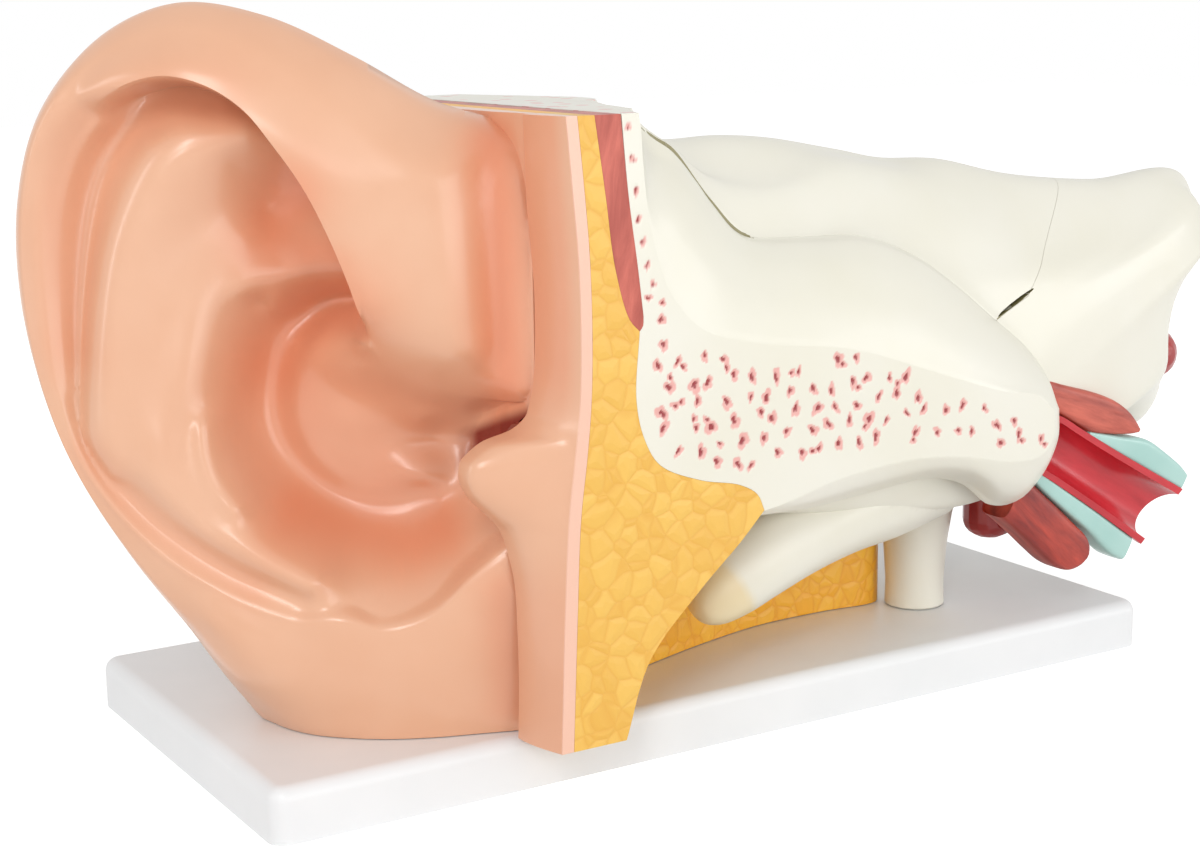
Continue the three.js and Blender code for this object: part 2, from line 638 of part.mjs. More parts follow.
const auricleCentre = [-80, 95];
const helixEdgeSteps = 96;
const reliefLineSpacing = 6;
const reliefSoftness = 3;
const outerShares = [1, 0.97, 0.9, 0.78, 0.62, 0.46, 0.3, 0.14, 0];
const innerShares = [0.97, 0.92, 0.86, 0.8, 0.74, 0.68, 0.62, 0.56, 0.5, 0.44, 0.38, 0.31, 0.24, 0.16, 0.08];
const backShares = [0.97, 0.9, 0.78, 0.62, 0.44, 0.24, 0.1];
const rimRounding = 0.3;

// Distance from the centre of the auricle to its rim in a direction.
function reachOf(outline, angle) {
  const [cu, cv] = auricleCentre;
  const du = Math.cos(angle);
  const dv = Math.sin(angle);
  let reach = 0;
  outline.forEach(([au, av], i) => {
    const [bu, bv] = outline[(i + 1) % outline.length];
    const cross = du * (bv - av) - dv * (bu - au);
    const t = (dv * (au - cu) - du * (av - cv)) / cross;
    const distance = ((au - cu) * (bv - av) - (av - cv) * (bu - au)) / cross;
    if (t >= 0 && t <= 1 && distance > reach) reach = distance;
  });
  return reach;
}

// Points along smooth lines, close enough together to hold the lines on the surface
function spread(lines) {
  return lines.flatMap((line) => {
    const points = line.map(([u, v, w]) => new THREE.Vector3(u, v, w));
    const curve = new THREE.CatmullRomCurve3(points, false, "centripetal");
    const count = Math.max(2, Math.round(curve.getLength() / reliefLineSpacing));
    return curve.getSpacedPoints(count).map((p) => p.toArray());
  });
}

function makePinna() {
  const outer = heightThrough(spread([...outerLines, ...sharedLines]), reliefSoftness);
  const inner = heightThrough(spread([...innerLines, ...sharedLines]), reliefSoftness);
  const back = heightThrough(backFace);
  const middle = heightThrough(rimDepth);
  const toVectors = (line) => line.map(([u, v]) => new THREE.Vector3(u, v, 0));
  const closedCurve = (line) => new THREE.CatmullRomCurve3(toVectors(line), true, "centripetal");
  const edge = closedCurve(helixEdge).getSpacedPoints(helixEdgeSteps).slice(0, helixEdgeSteps);
  const rim = closedCurve(auricleRim).getSpacedPoints(180).map((p) => [p.x, p.y]);
  const [cu, cv] = auricleCentre;
  const rays = edge.map((p) => {
    const angle = Math.atan2(p.y - cv, p.x - cu);
    return { angle, edge: Math.hypot(p.x - cu, p.y - cv), rim: reachOf(rim, angle) };
  });
  const soft = helixEdgeSoftness / 2;
  const positions = [];
  const index = [];
  const addPoint = (ray, reach, heightAt) => {
    const u = cu + reach * Math.cos(ray.angle);
    const v = cv + reach * Math.sin(ray.angle);
    const rise = Math.min(1, (ray.rim - reach) / (rimRounding * (ray.rim - ray.edge)));
    const round = Math.sqrt(Math.max(0, 1 - (1 - rise) ** 2));
    const rimU = cu + ray.rim * Math.cos(ray.angle);
    const rimV = cv + ray.rim * Math.sin(ray.angle);
    const base = middle(rimU, rimV);
    positions.push(...fromFace(u, v, base + (heightAt(u, v) - base) * round).toArray());
  };
  const addRing = (heightAt, reachAt) => {
    const first = positions.length / 3;
    rays.forEach((ray) => addPoint(ray, reachAt(ray), heightAt));
    return first;
  };
  const joinRings = (starts, flip) => {
    for (let r = 0; r + 1 < starts.length; r += 1) {
      for (let i = 0; i < rays.length; i += 1) {
        const next = (i + 1) % rays.length;
        const [a, b] = [starts[r] + i, starts[r] + next];
        const [c, d] = [starts[r + 1] + next, starts[r + 1] + i];
        if (flip) index.push(a, c, b, a, d, c);
        else index.push(a, b, c, a, c, d);
      }
    }
  };
  const closeRing = (start, heightAt, flip) => {
    const centre = positions.length / 3;
    positions.push(...fromFace(cu, cv, heightAt(cu, cv)).toArray());
    for (let i = 0; i < rays.length; i += 1) {
      const next = (i + 1) % rays.length;
      if (flip) index.push(start + i, centre, start + next);
      else index.push(start + i, start + next, centre);
    }
  };
  const rimRing = addRing(outer, (ray) => ray.rim);
  const frontRings = [rimRing];
  outerShares.slice(1).forEach((share) => {
    frontRings.push(addRing(outer, (ray) => ray.edge + soft + share * (ray.rim - ray.edge - soft)));
  });
  frontRings.push(addRing((u, v) => (outer(u, v) + inner(u, v)) / 2, (ray) => ray.edge));
  innerShares.forEach((share) => {
    frontRings.push(addRing(inner, (ray) => share * (ray.edge - soft) + (1 - share) * 2));
  });
  joinRings(frontRings, false);
  closeRing(frontRings[frontRings.length - 1], inner, false);
  const backRings = [rimRing];
  backShares.forEach((share) => backRings.push(addRing(back, (ray) => share * ray.rim)));
  joinRings(backRings, true);
  closeRing(backRings[backRings.length - 1], back, true);
  return solidOf(outward(positions, index));
}

// Ear canal, middle ear and labyrinth spaces

function canalHeight(x) {
  const share = (canalEndX - x) / (canalEndX - canalMouthX);
  return canalEndZ - (canalEndZ - canalMouthZ) * share * share;
}

function canalStations(fromX, toX, outer, inner) {
  return [0, 0.2, 0.4, 0.6, 0.8, 1].map((share) => {
    const x = fromX + share * (toX - fromX);
    return [x, canalHeight(x), outer, inner];
  });
}

// Both halves of the canal's bore, with room for its lining
function makeCanalBore() {
  const sides = 20;
  const radius = canalRadius + canalLiningWall + 2 * clearance;
  const rings = canalStations(canalMouthX, canalEndX + 2).map(([x, z]) => {
    const ring = [];
    for (let k = 0; k < sides; k += 1) {
      const angle = (2 * Math.PI * k) / sides;
      const up = radius * Math.cos(angle);
      ring.push(new THREE.Vector3(x - 0.1 * up, seamMidY + radius * Math.sin(angle), z + up));
    }
    return ring;
  });
  return solidOf(loft(rings));
}

// Half of a pipe on one side of the seam, along a line of [x, z, outer radius, inner radius].
function halfPipe(stations, side) {
  const arcSteps = 8;
  const rings = stations.map(([x, z, outer, inner], i) => {
    const before = stations[Math.max(0, i - 1)];
    const after = stations[Math.min(stations.length - 1, i + 1)];
    const turn = Math.atan2(after[1] - before[1], after[0] - before[0]);
    const ring = [];
    const addArc = (radius, from, to) => {
      for (let k = 0; k <= arcSteps; k += 1) {
        const angle = from + ((to - from) * k) / arcSteps;
        const up = radius * Math.cos(angle);
        const out = side * (clearance / 2 + radius * Math.sin(angle));
        ring.push(
          new THREE.Vector3(x - up * Math.sin(turn), seamMidY + out, z + up * Math.cos(turn)),
        );
      }
    };
    addArc(outer, 0, Math.PI);
    addArc(inner, Math.PI, 0);
    return ring;
  });
  return solidOf(loft(rings));
}

function tympanumOf(extra = 0) {
  const half = (depth) =>
    ellipsoidOf(
      [tympanumX, seamY, tympanumZ],
      [tympanumRadiusX + extra, depth + extra, tympanumRadiusZ + extra],
      16,
    );
  const front = half(tympanumDepthFront).intersect(boxOf([-200, -200, 0], [200, seamY + 0.01, 250]));
  const back = half(tympanumDepthBack).intersect(boxOf([-200, seamY, 0], [200, 200, 250]));
  return front.add(back);
}

function pocketOf(fromZ, toZ, grow = 0) {
  const centreX = (pocketLeftX + pocketRightX) / 2;
  const centreY = (pocketFrontY + pocketBackY) / 2;
  const halfX = (pocketRightX - pocketLeftX) / 2 + grow;
  const halfY = (pocketBackY - pocketFrontY) / 2 + grow;
  const ringAt = (z) =>
    roundedRectangle(halfX, halfY, pocketCorner, z, 3).map((p) =>
      p.add(new THREE.Vector3(centreX, centreY, 0)),
    );
  return solidOf(loft([ringAt(fromZ), ringAt(toZ)]));
}

const stapesZ = 106;
const stapesY = -48;

function stapesSlot() {
  return boxOf([18, stapesY - 7, stapesZ - 6], [pocketLeftX + 2, stapesY + 7, coverFloorZ + 1]);
}

const tubeTurn = THREE.MathUtils.degToRad(tubeAngle);
const innerTubeStart = [22, seamY, 94];
const innerTubeRadius = 4.6;
const funnelLength = 9;
const innerTurn = Math.atan2(tubeStart[2] - innerTubeStart[2], tubeStart[0] - innerTubeStart[0]);

// A place on the auditory tube: along its axis, across it upwards, and back from the seam.
// The part inside the bone, at negative distances, slopes less than the part outside.
function onTube(along, up, back) {
  const turn = along < 0 ? innerTurn : tubeTurn;
  return new THREE.Vector3(
    tubeStart[0] + along * Math.cos(turn) - up * Math.sin(turn),
    tubeStart[1] + back,
    tubeStart[2] + along * Math.sin(turn) + up * Math.cos(turn),
  );
}

function onSeam([along, up]) {
  const { x, z } = onTube(along, up, 0);
  return [x, z];
}

function tubeGrooveOf(hasFunnel) {
  const radius = innerTubeRadius + 2 * clearance;
  const groove = barOf(innerTubeStart, tubeStart, radius, radius, 16);
  const funnelFrom = onTube(-funnelLength, 0, 0).toArray();
  const funnelTo = onTube(funnelLength, 0, 0).toArray();
  const funnel = barOf(funnelFrom, funnelTo, radius, 2.6 * radius, 16);
  return hasFunnel ? groove.add(funnel) : groove;
}

// Keystone shape of the bone cover, seen from the front
const coverOutline = [[coverLeftX, coverFloorZ], [coverLeftTopX, coverTopZ],
  [coverRightTopX, coverTopZ], [coverKneeX, coverKneeZ], [coverRightX, coverFloorZ]];

const slabPinPlaces = [[-62.5, 40], [-37, 119], [50, 71]];
const coverPinPlaces = [[2, -26], [60, -3]];
const labyrinthPinPlace = [50, -40];

function slabPinOf(x, z, extra = 0) {
  const half = slabPinLength / 2 + extra;
  return barOf([x, seamY - half, z], [x, seamY + half, z], pinRadius + extra);
}

function coverPinOf(x, y, extra = 0) {
  const half = coverPinLength / 2 + extra;
  return barOf([x, y, coverFloorZ - half], [x, y, coverFloorZ + half], pinRadius + extra);
}

function labyrinthPinOf(extra = 0) {
  const [x, y] = labyrinthPinPlace;
  const half = labyrinthPinLength / 2 + extra;
  return barOf([x, y, pocketFloorZ - half], [x, y, pocketFloorZ + half], pinRadius + extra);
}

function allSlabPins(extra = 0) {
  return unite(slabPinPlaces.map(([x, z]) => slabPinOf(x, z, extra)));
}

function allCoverPins(extra = 0) {
  return unite(coverPinPlaces.map(([x, y]) => coverPinOf(x, y, extra)));
}

// Support post: a tapered peg whose spigot enters the bone

const spigotRadius = 5;
const spigotZ = 66;

function postPeg(extra = 0) {
  const foot = [postX, postY, footZ];
  const head = [postX, postY, postTopZ];
  return barOf(foot, head, postRadius + extra, postTopRadius + extra, roundSides);
}

function spigotOf(extra) {
  return barOf([postX, postY, footZ + 1], [postX, postY, spigotZ + extra], spigotRadius + extra);
}

// Auditory tube with its cartilage and the two muscles of the palate

const tubeShape = [[-82, innerTubeRadius, 3.2], [-10, innerTubeRadius, 3.2], [-6, 5, 3.5],
  [-1, 8, 6.2], [6, tubeRadius, tubeRadius - tubeWall], [34, tubeRadius + 0.6, tubeRadius + 0.6 - tubeWall],
  [tubeLength + 6, tubeEndRadius, tubeEndRadius - tubeWall]];
// The tube's free end is cut on a slant.
const tubeEndCut = [[tubeLength + 5, 15], [tubeLength - 4.5, -15], [tubeLength + 30, -15], [tubeLength + 30, 15]];

function makeMucosa() {
  const stations = tubeShape.map(([along, outer, inner]) => {
    const { x, z } = onTube(along, 0, 0);
    return [x, z, outer, inner];
  });
  return halfPipe(stations, 1).subtract(slabOf(tubeEndCut.map(onSeam), seamY - 5, seamY + 30));
}

// A strip that lies against the tube, given by its height above the tube's wall along its length.
function tubeStrip(stations, depth, upSide) {
  const rings = stations.map(([along, low, high]) => {
    const inner = upSide * low;
    const outer = upSide * high;
    const soft = 0.25 * (high - low);
    return [
      onTube(along, inner, clearance),
      onTube(along, outer - upSide * soft, clearance),
      onTube(along, outer, clearance + soft),
      onTube(along, outer - upSide * soft * 0.5, depth - soft),
      onTube(along, outer - upSide * soft * 2, depth),
      onTube(along, inner, depth),
    ];
  });
  return solidOf(loft(rings));
}

// A fleshy band: an outline in X and Z with its front and back edges rounded.
function fleshOf(outline, fromY, toY, rounding) {
  const places = [[0, 0.9], [0.12, 0.25], [0.3, 0], [0.7, 0], [0.88, 0.25], [1, 0.9]];
  const rings = places.map(([share, inset]) =>
    shrunk(outline, rounding * inset + 0.001).map(
      ([x, z]) => new THREE.Vector3(x, fromY + share * (toY - fromY), z),
    ),
  );
  return solidOf(loft(rings));
}

// Outlines of the two muscles, along the tube and across it
const tensorOutline = smoothLine(
  [[-8, 10.5], [-8, 15], [2, 17.5], [14, 21.5], [25, 23.2], [34, 22.6], [37.2, 20], [36.6, 17.8], [29, 15],
    [22, 12.6], [12, 11], [2, 10.5]].map(onSeam),
  20,
);
const levatorOutline = smoothLine(
  [[-3, -14], [4, -12.9], [16, -14.7], [28, -16.4], [36, -18], [39.4, -21.5], [37, -28], [30, -31.2],
    [22, -30.4], [13, -28.6], [4, -27], [-4, -25]].map(onSeam),
  20,
);

// Ossicles and labyrinth

function makeDrum() {
  const cone = new THREE.LatheGeometry(
    [[0, 1.2], [5, 0.2], [11.5, -1.3], [drumRadius - 2, -1.6], [drumRadius, -1.5], [drumRadius, 1.5],
      [drumRadius - 2, 1.3], [11.5, -0.1], [5, 1.5], [0, 2.6]].map(([r, h]) => new THREE.Vector2(r, h)),
    roundSides,
  );
  cone.rotateZ(-Math.PI / 2);
  cone.translate(drumX, seamY, canalEndZ + 0.5);
  return solidOf(cone);
}

const umbo = [drumX + 3.2, seamY, canalEndZ];
const malleusHead = [7, seamY + 2, 115];
const incusBody = [14.5, seamY + 5, 113.5];
const incusTip = [20.2, stapesY, stapesZ];

function makeMalleus() {
  const neck = [3.4, seamY + 1, 107.5];
  return unite([
    tubeOf([umbo, [drumX + 4.6, seamY, 101], neck, malleusHead], 1.5, 8, 8),
    ellipsoidOf(malleusHead, [3.6, 3.6, 4.4], smallSides),
    barOf(neck, [0.5, seamY - 2.5, 108.6], 1.2, 0.8, 8),
  ]);
}

function makeIncus() {
  return unite([
    ellipsoidOf(incusBody, [3.8, 4, 4.2], smallSides),
    tubeOf([incusBody, [17.4, seamY + 9, 110], [19, stapesY - 4, 106.5], incusTip], 1.3, 8, 8),
    barOf(incusBody, [13.5, seamY + 13, 114.5], 2.2, 1, 8),
  ]);
}

function makeStapes() {
  const head = [23.2, stapesY, stapesZ];
  const footX = 33.2;
  const leg = (side) => [
    head,
    [26.5, stapesY, stapesZ + side * 3],
    [footX - 2, stapesY, stapesZ + side * 3.4],
    [footX, stapesY, stapesZ + side * 2.6],
  ];
  const plate = barOf([footX - 0.8, stapesY, stapesZ], [footX + 0.6, stapesY, stapesZ], 4, 4, smallSides);
  return unite([
    ellipsoidOf(head, [1.9, 1.9, 1.9], 8),
    tubeOf(leg(1), 0.9, 6, 6),
    tubeOf(leg(-1), 0.9, 6, 6),
    plate,
  ]);
}

const vestibule = [48.5, -43, 105];
const canalLoopRadius = 8.4;
const canalTubeRadius = 2.1;

// One semicircular canal: a ring that dips into the vestibule.
function canalLoop(centre, axis) {
  const geometry = new THREE.TorusGeometry(canalLoopRadius, canalTubeRadius, 8, 20);
  const turn = new THREE.Quaternion().setFromUnitVectors(
    new THREE.Vector3(0, 0, 1),
    new THREE.Vector3(...axis).normalize(),
  );
  geometry.applyQuaternion(turn);
  geometry.translate(...centre);
  return solidOf(geometry);
}

function makeCanals() {
  const [x, y, z] = vestibule;
  const [pinX, pinY] = labyrinthPinPlace;
  return unite([
    ellipsoidOf(vestibule, [7.2, 8.6, 8.4], 16),
    barOf([pinX, pinY, pocketFloorZ + clearance], [pinX, pinY, z], 6, 5, 10),
    canalLoop([x - 1, y + 4, z + 13], [0.7, 0.7, 0.1]),
    canalLoop([x - 4, y + 12, z + 4], [-0.75, 0.65, 0.1]),
    canalLoop([x - 8, y + 6, z], [0.1, -0.25, 1]),
  ]);
}

const cochleaBase = [68, -44, 104];
const cochleaTurns = 2.4;

// The cochlea: a tapering tube on a conical helix, held by its central cone.
function makeCochlea() {
  const sides = 8;
  const steps = 44;
  const axis = new THREE.Vector3(0.45, -0.75, 0.48).normalize();
  const across = new THREE.Vector3(0, 0, 1).cross(axis).normalize();
  const up = axis.clone().cross(across);
  const rings = [];
  for (let i = 0; i <= steps; i += 1) {
    const t = i / steps;
    const angle = 2 * Math.PI * cochleaTurns * t + Math.PI;
    const radius = 11.4 - 9.2 * t;
    const outwardDir = across.clone().multiplyScalar(Math.cos(angle)).addScaledVector(up, Math.sin(angle));
    const centre = new THREE.Vector3(...cochleaBase)
      .addScaledVector(axis, 13 * t)
      .addScaledVector(outwardDir, radius);
    const tube = 3.3 - 1.6 * t;
    const ring = [];
    for (let k = 0; k < sides; k += 1) {
      const turn = (2 * Math.PI * k) / sides;
      ring.push(
        centre
          .clone()
          .addScaledVector(outwardDir, tube * Math.cos(turn))
          .addScaledVector(axis, tube * Math.sin(turn)),
      );
    }
    rings.push(ring);
  }
  const start = new THREE.Vector3(...cochleaBase).addScaledVector(axis, -2.5).toArray();
  const end = new THREE.Vector3(...cochleaBase).addScaledVector(axis, 13.5).toArray();
  return solidOf(loft(rings)).add(barOf(start, end, 9.6, 1.6, smallSides));
}

function makeNerve() {
  return unite([
    tubeOf([[64, -34, 98], [72, -30, 102], [80, -27, 107], [88.5, -24, 111]], 4.2, 6, 10),
    tubeOf([[54, -32, 112], [63, -27, 113], [72, -25.5, 112.5], [82, -25, 111]], 2.6, 6, 8),
  ]);
}

// Skin of the front section, with the tragus standing out of it

// The skin's outer line without the tragus, and with it, in Z and X
const plainSkinLine = [[footZ, -80.1], [31, -79.5], [47.6, -79.7], [62, -79.9], [80, -79.3], [98, -77.2],
  [104, -75], [112, -73.2], [132, -72.4], [158, -74.2], [cutTopZ, -74.8]];
const tragusLine = [[58, -80], [66, -81.3], [71.5, -83.4], [76.7, -87], [81.5, -92.2], [85.5, -95.3], [90, -96.2],
  [93.8, -94.6], [96, -90.6], [98, -85.4], [100.6, -80.4], [104, -76]];
const cutSkinLine = [[footZ, -76.7], [51.5, -75], [77.7, -73.2], [94, -71], [108, -69.4], [125, -68.9],
  [144, -69.3], [160, -70.6], [cutTopZ, -72.4]];

function alongLine(line, z) {
  if (z <= line[0][0]) return line[0][1];
  const next = line.findIndex(([at]) => at >= z);
  if (next < 0) return line[line.length - 1][1];
  const [[z0, x0], [z1, x1]] = [line[next - 1], line[next]];
  return x0 + ((x1 - x0) * (z - z0)) / (z1 - z0);
}

function frontSkinX(z, y) {
  const back = (y - frontY) / (seamY - frontY);
  const rounded = Math.sin((Math.PI / 2) * Math.min(1, back * 1.12));
  const plain = alongLine(plainSkinLine, z);
  const inTragus = z > tragusLine[0][0] && z < tragusLine[tragusLine.length - 1][0];
  const tragus = inTragus ? Math.min(0, alongLine(tragusLine, z) - plain) : 0;
  const edge = alongLine(cutSkinLine, z);
  return edge + (plain - edge) * rounded + tragus * smoothStep(0.02, 0.66, back);
}

function makeFrontSkin() {
  const ys = [0, 0.08, 0.22, 0.4, 0.58, 0.76, 0.9, 1].map((share) => frontY + share * (seamY - clearance - frontY));
  const heights = [footZ, 30, 44, 54, 61, 66, 70, 74, 78, 82, 86, 90, 93, 95, 97, 99, 101.5, 105, 112, 124, 138,
    154, 168, cutTopZ];
  const rings = ys.map((y) => [
    ...heights.map((z) => new THREE.Vector3(frontSkinX(z, y), y, z)),
    ...[...heights].reverse().map((z) => new THREE.Vector3(alongLine(skinInnerLine, z) - clearance, y, z)),
  ]);
  return solidOf(loft(rings));
}

// The lobe of bone that hangs below the petrous part, from the back of the bone to its blunt tip
const lobeLine = [
  { at: [70, -40, 58], radii: [20, 19, 10] },
  { at: [48, -44, 57], radii: [18, 16, 10] },
  { at: [30, -50, 53], radii: [17, 13, 10] },
  { at: [12, -54, 47], radii: [16, 11.5, 9.6] },
  { at: [-4, -55.5, 41], radii: [15, 9.6, 9] },
  { at: [-11, -56, 38], radii: [13.5, 8.2, 8] },
];

function makeLobe() {
  const sides = 16;
  const rings = lobeLine.map(({ at, radii }, i) => {
    const before = lobeLine[Math.max(0, i - 1)].at;
    const after = lobeLine[Math.min(lobeLine.length - 1, i + 1)].at;
    const along = new THREE.Vector3(...after).sub(new THREE.Vector3(...before)).normalize();
    const back = new THREE.Vector3(0, 1, 0).addScaledVector(along, -along.y).normalize();
    const up = back.clone().cross(along);
    const ring = [];
    for (let k = 0; k < sides; k += 1) {
      const angle = (2 * Math.PI * k) / sides;
      ring.push(
        new THREE.Vector3(...at)
          .addScaledVector(up, radii[0] * 0.92 * Math.cos(angle))
          .addScaledVector(back, radii[1] * Math.sin(angle)),
      );
    }
    return ring;
  });
  return solidOf(loft(rings));
}

// Assembly of the fixed and lifting solids

const wholeBone = makeWholeBone();
const frontHalf = boxOf([-300, -200, footZ], [300, seamY - clearance, cutTopZ]);
const rearHalf = boxOf([-300, seamY, footZ], [300, backY, cutTopZ]);
const canalBore = makeCanalBore();
const tympanum = tympanumOf();
const drumGroove = barOf(
  [drumX - 3, seamY, canalEndZ + 0.5],
  [drumX + 3.2, seamY, canalEndZ + 0.5],
  drumRadius + clearance,
  drumRadius + clearance,
  roundSides,
);
const pinBores = allSlabPins(clearance);
const tubeGroove = tubeGrooveOf(true);
const screwBores = screwHoles();

const frontBone = wholeBone
  .intersect(slabOf(shrunk(boneOutline, clearance / 2), frontY, seamY - clearance))
  .intersect(frontHalf)
  .subtract(canalBore)
  .subtract(tympanum)
  .subtract(drumGroove)
  .subtract(tubeGrooveOf(false))
  .subtract(pinBores);

const frontFat = slabOf(shrunk(fatOutline, clearance / 2), frontY, seamY - clearance)
  .subtract(canalBore)
  .subtract(pinBores);

const frontMuscle = slabOf(shrunk(muscleOutline, clearance / 2), frontY, seamY - clearance);

const frontSkin = makeFrontSkin().subtract(canalBore);

const bonePrism = (inset) => slabOf(shrunk(boneOutline, inset), seamY - 1, backY + 1);
const keystone = (spread) => slabOf(shrunk(coverOutline, -spread), seamY - 10, backY + 10);
const lobe = makeLobe();
const rearPlate = wholeBone.intersect(bonePrism(clearance / 2)).intersect(rearHalf);
const boneKeepOut = grown(wholeBone, 0.45).intersect(bonePrism(-clearance / 2)).add(grown(lobe));
// The tube's parts hang in front of the bone and below it, so the bone is moved that way.
const tubeKeepOut = unite(
  [[0, 0, 0], [0, -0.5, 0], [0, 0, -0.5], [0, -0.4, -0.4]].map((shift) => wholeBone.translate(shift)),
).subtract(tubeGroove);

const upperCover = rearPlate
  .intersect(keystone(0))
  .subtract(pocketOf(coverFloorZ - 1, pocketRoofZ, 0.5))
  .subtract(tympanum)
  .subtract(allCoverPins(clearance));

const rearBone = rearPlate
  .subtract(keystone(clearance))
  .add(lobe.intersect(rearHalf))
  .subtract(canalBore)
  .subtract(tympanum)
  .subtract(drumGroove)
  .subtract(tubeGroove)
  .subtract(stapesSlot())
  .subtract(pocketOf(pocketFloorZ, coverFloorZ + 2))
  .subtract(allCoverPins(clearance))
  .subtract(labyrinthPinOf(clearance))
  .subtract(pinBores)
  .subtract(spigotOf(clearance));

const postSolid = postPeg().subtract(boneKeepOut).add(spigotOf(0)).subtract(screwBores);

const rearMuscle = slabOf(shrunk(muscleOutline, clearance / 2), seamY, backY);

// Fat behind the seam: a layer under the skin and a foot under the bone
const fatFoot = [[skinInnerX, seamY], [-57, seamY], [-52, -52], [-40, -42], [-17, -34], [8, -26], [33, -20],
  [58, -20], [82, -21.5], [74, -8], [60, 10], [30, 24], [0, 34], [-30, backY], [skinInnerX, backY]];
const fatFootTopZ = 90;

const rearFat = slabOf(shrunk(fatOutline, clearance / 2), seamY, backY)
  .intersect(boxOf([-300, seamY, fatFootTopZ - 12], [boneEdge[7][0], backY, cutTopZ]))
  .add(blockOf(shrunk(fatFoot, clearance / 2), footZ, fatFootTopZ))
  .subtract(boneKeepOut)
  .subtract(postPeg(clearance))
  .subtract(canalBore)
  .subtract(pinBores)
  .subtract(screwBores);

const skinSlab = boxOf([headSkinX, seamY, footZ], [skinInnerX - clearance, backY, cutTopZ]);
const auricle = mainPiece(
  makePinna()
    .intersect(boxOf([-300, seamY, footZ], [skinInnerX - clearance, backY, 260]))
    .subtract(boxOf([headSkinX - 6, seamY - 1, cutTopZ], [0, backY + 1, 260]))
    .add(skinSlab)
    .subtract(canalBore)
    .subtract(screwBores),
);

const liningStations = canalStations(
  headSkinX,
  canalEndX - clearance,
  canalRadius + canalLiningWall,
  canalRadius,
);

const eardrum = makeDrum();
const malleus = makeMalleus().subtract(grown(eardrum));
const incus = makeIncus().subtract(grown(malleus));
const stapes = makeStapes().subtract(grown(incus, 0.4));
const canals = makeCanals().subtract(grown(stapes, 0.5)).subtract(labyrinthPinOf(clearance));
const cochlea = makeCochlea().subtract(grown(canals));
const nerve = makeNerve().subtract(grown(cochlea)).subtract(grown(canals));

const mucosa = mainPiece(makeMucosa().subtract(tubeKeepOut));
const cartilageUpper = tubeStrip(
  [[20, 10.3, 11.4], [31, 10.5, 14.6], [43, 10.9, 18.9], [54, 11.5, 18.6], [64, 12.2, 17.4]],
  10,
  1,
).subtract(tubeKeepOut);
const cartilageLower = tubeStrip(
  [[2, 9.9, 12], [10, 9.9, 13.4], [22, 10.3, 15], [36, 10.6, 16.8], [50, 11.2, 19.2], [55, 11.6, 19]],
  10,
  -1,
).subtract(tubeKeepOut);
const tensor = mainPiece(
  fleshOf(tensorOutline, seamY + clearance, seamY + 10, 1.2).subtract(tubeKeepOut),
);
const levator = fleshOf(levatorOutline, seamY + clearance, seamY + 13, 1.6).subtract(tubeKeepOut);

const arteryRadius = 8.5;
const arteryLower = barOf([112, -36, 41], [112, -36, 70], arteryRadius, arteryRadius, 16)
  .add(ellipsoidOf([112, -36, 41], [arteryRadius, arteryRadius, 6], 16))
  .subtract(boneKeepOut)
  .subtract(postPeg(clearance));
const arteryUpper = barOf([176, -27, 87], [191.5, -27, 83], arteryRadius, arteryRadius, 16)
  .add(ellipsoidOf([191.5, -27, 83], [arteryRadius, arteryRadius, arteryRadius], 16))
  .subtract(boneKeepOut);

// Scene

const group = new THREE.Group();

function show(name, solid, colour, roughness = 0.4, metalness = 0) {
  const material = new THREE.MeshStandardMaterial({ color: colours[colour], roughness, metalness });
  const mesh = new THREE.Mesh(geometryOf(solid), material);
  mesh.name = name;
  group.add(mesh);
}

show("base_plate", makeBase(), "base", 0.5);
screwPlaces.forEach((place, i) => show(`base_screw_${i + 1}`, screwAt(place), "steel", 0.35, 1));
show("support_post", postSolid, "bone");
show("auricle", auricle, "skin", 0.3);
show("rear_fat", rearFat, "fat");
show("rear_muscle", rearMuscle, "muscle");
show("rear_bone", rearBone, "bone");
show("canal_lining_rear", halfPipe(liningStations, 1), "skin", 0.3);
show("front_skin", frontSkin, "skin", 0.3);
show("front_fat", frontFat, "fat");
show("front_muscle", frontMuscle, "muscle");
show("front_bone", frontBone, "bone");
show("canal_lining_front", halfPipe(liningStations, -1), "skin", 0.3);
slabPinPlaces.forEach(([x, z], i) => show(`slab_pin_${i + 1}`, slabPinOf(x, z), "steel", 0.3, 1));
show("upper_bone_cover", upperCover, "bone");
coverPinPlaces.forEach(([x, y], i) => show(`cover_pin_${i + 1}`, coverPinOf(x, y), "steel", 0.3, 1));
show("labyrinth_pin", labyrinthPinOf(), "steel", 0.3, 1);
show("eardrum", eardrum, "drum");
show("malleus", malleus, "bone");
show("incus", incus, "bone");
show("stapes", stapes, "bone");
show("semicircular_canals", canals, "labyrinth");
show("cochlea", cochlea, "labyrinth");
show("vestibulocochlear_nerve", nerve, "nerve");
show("tube_mucosa", mucosa, "mucosa");
show("tube_cartilage_upper", cartilageUpper, "cartilage");
show("tube_cartilage_lower", cartilageLower, "cartilage");
show("tensor_muscle", tensor, "muscle");
show("levator_muscle", levator, "muscle");
show("carotid_artery_lower", arteryLower, "artery");
show("carotid_artery_upper", arteryUpper, "artery");

export default group;
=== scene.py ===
# %% [markdown]
# # Ear anatomy model
# A teaching model of the ear at three times life size stands on a light grey base. The auricle is on the
# left, the sectioned temporal bone runs to the right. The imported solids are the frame, and every piece made
# here stands in the place of the solid that it replaces.

import math

import bmesh
import bpy
import numpy as np
from mathutils import Matrix, Vector


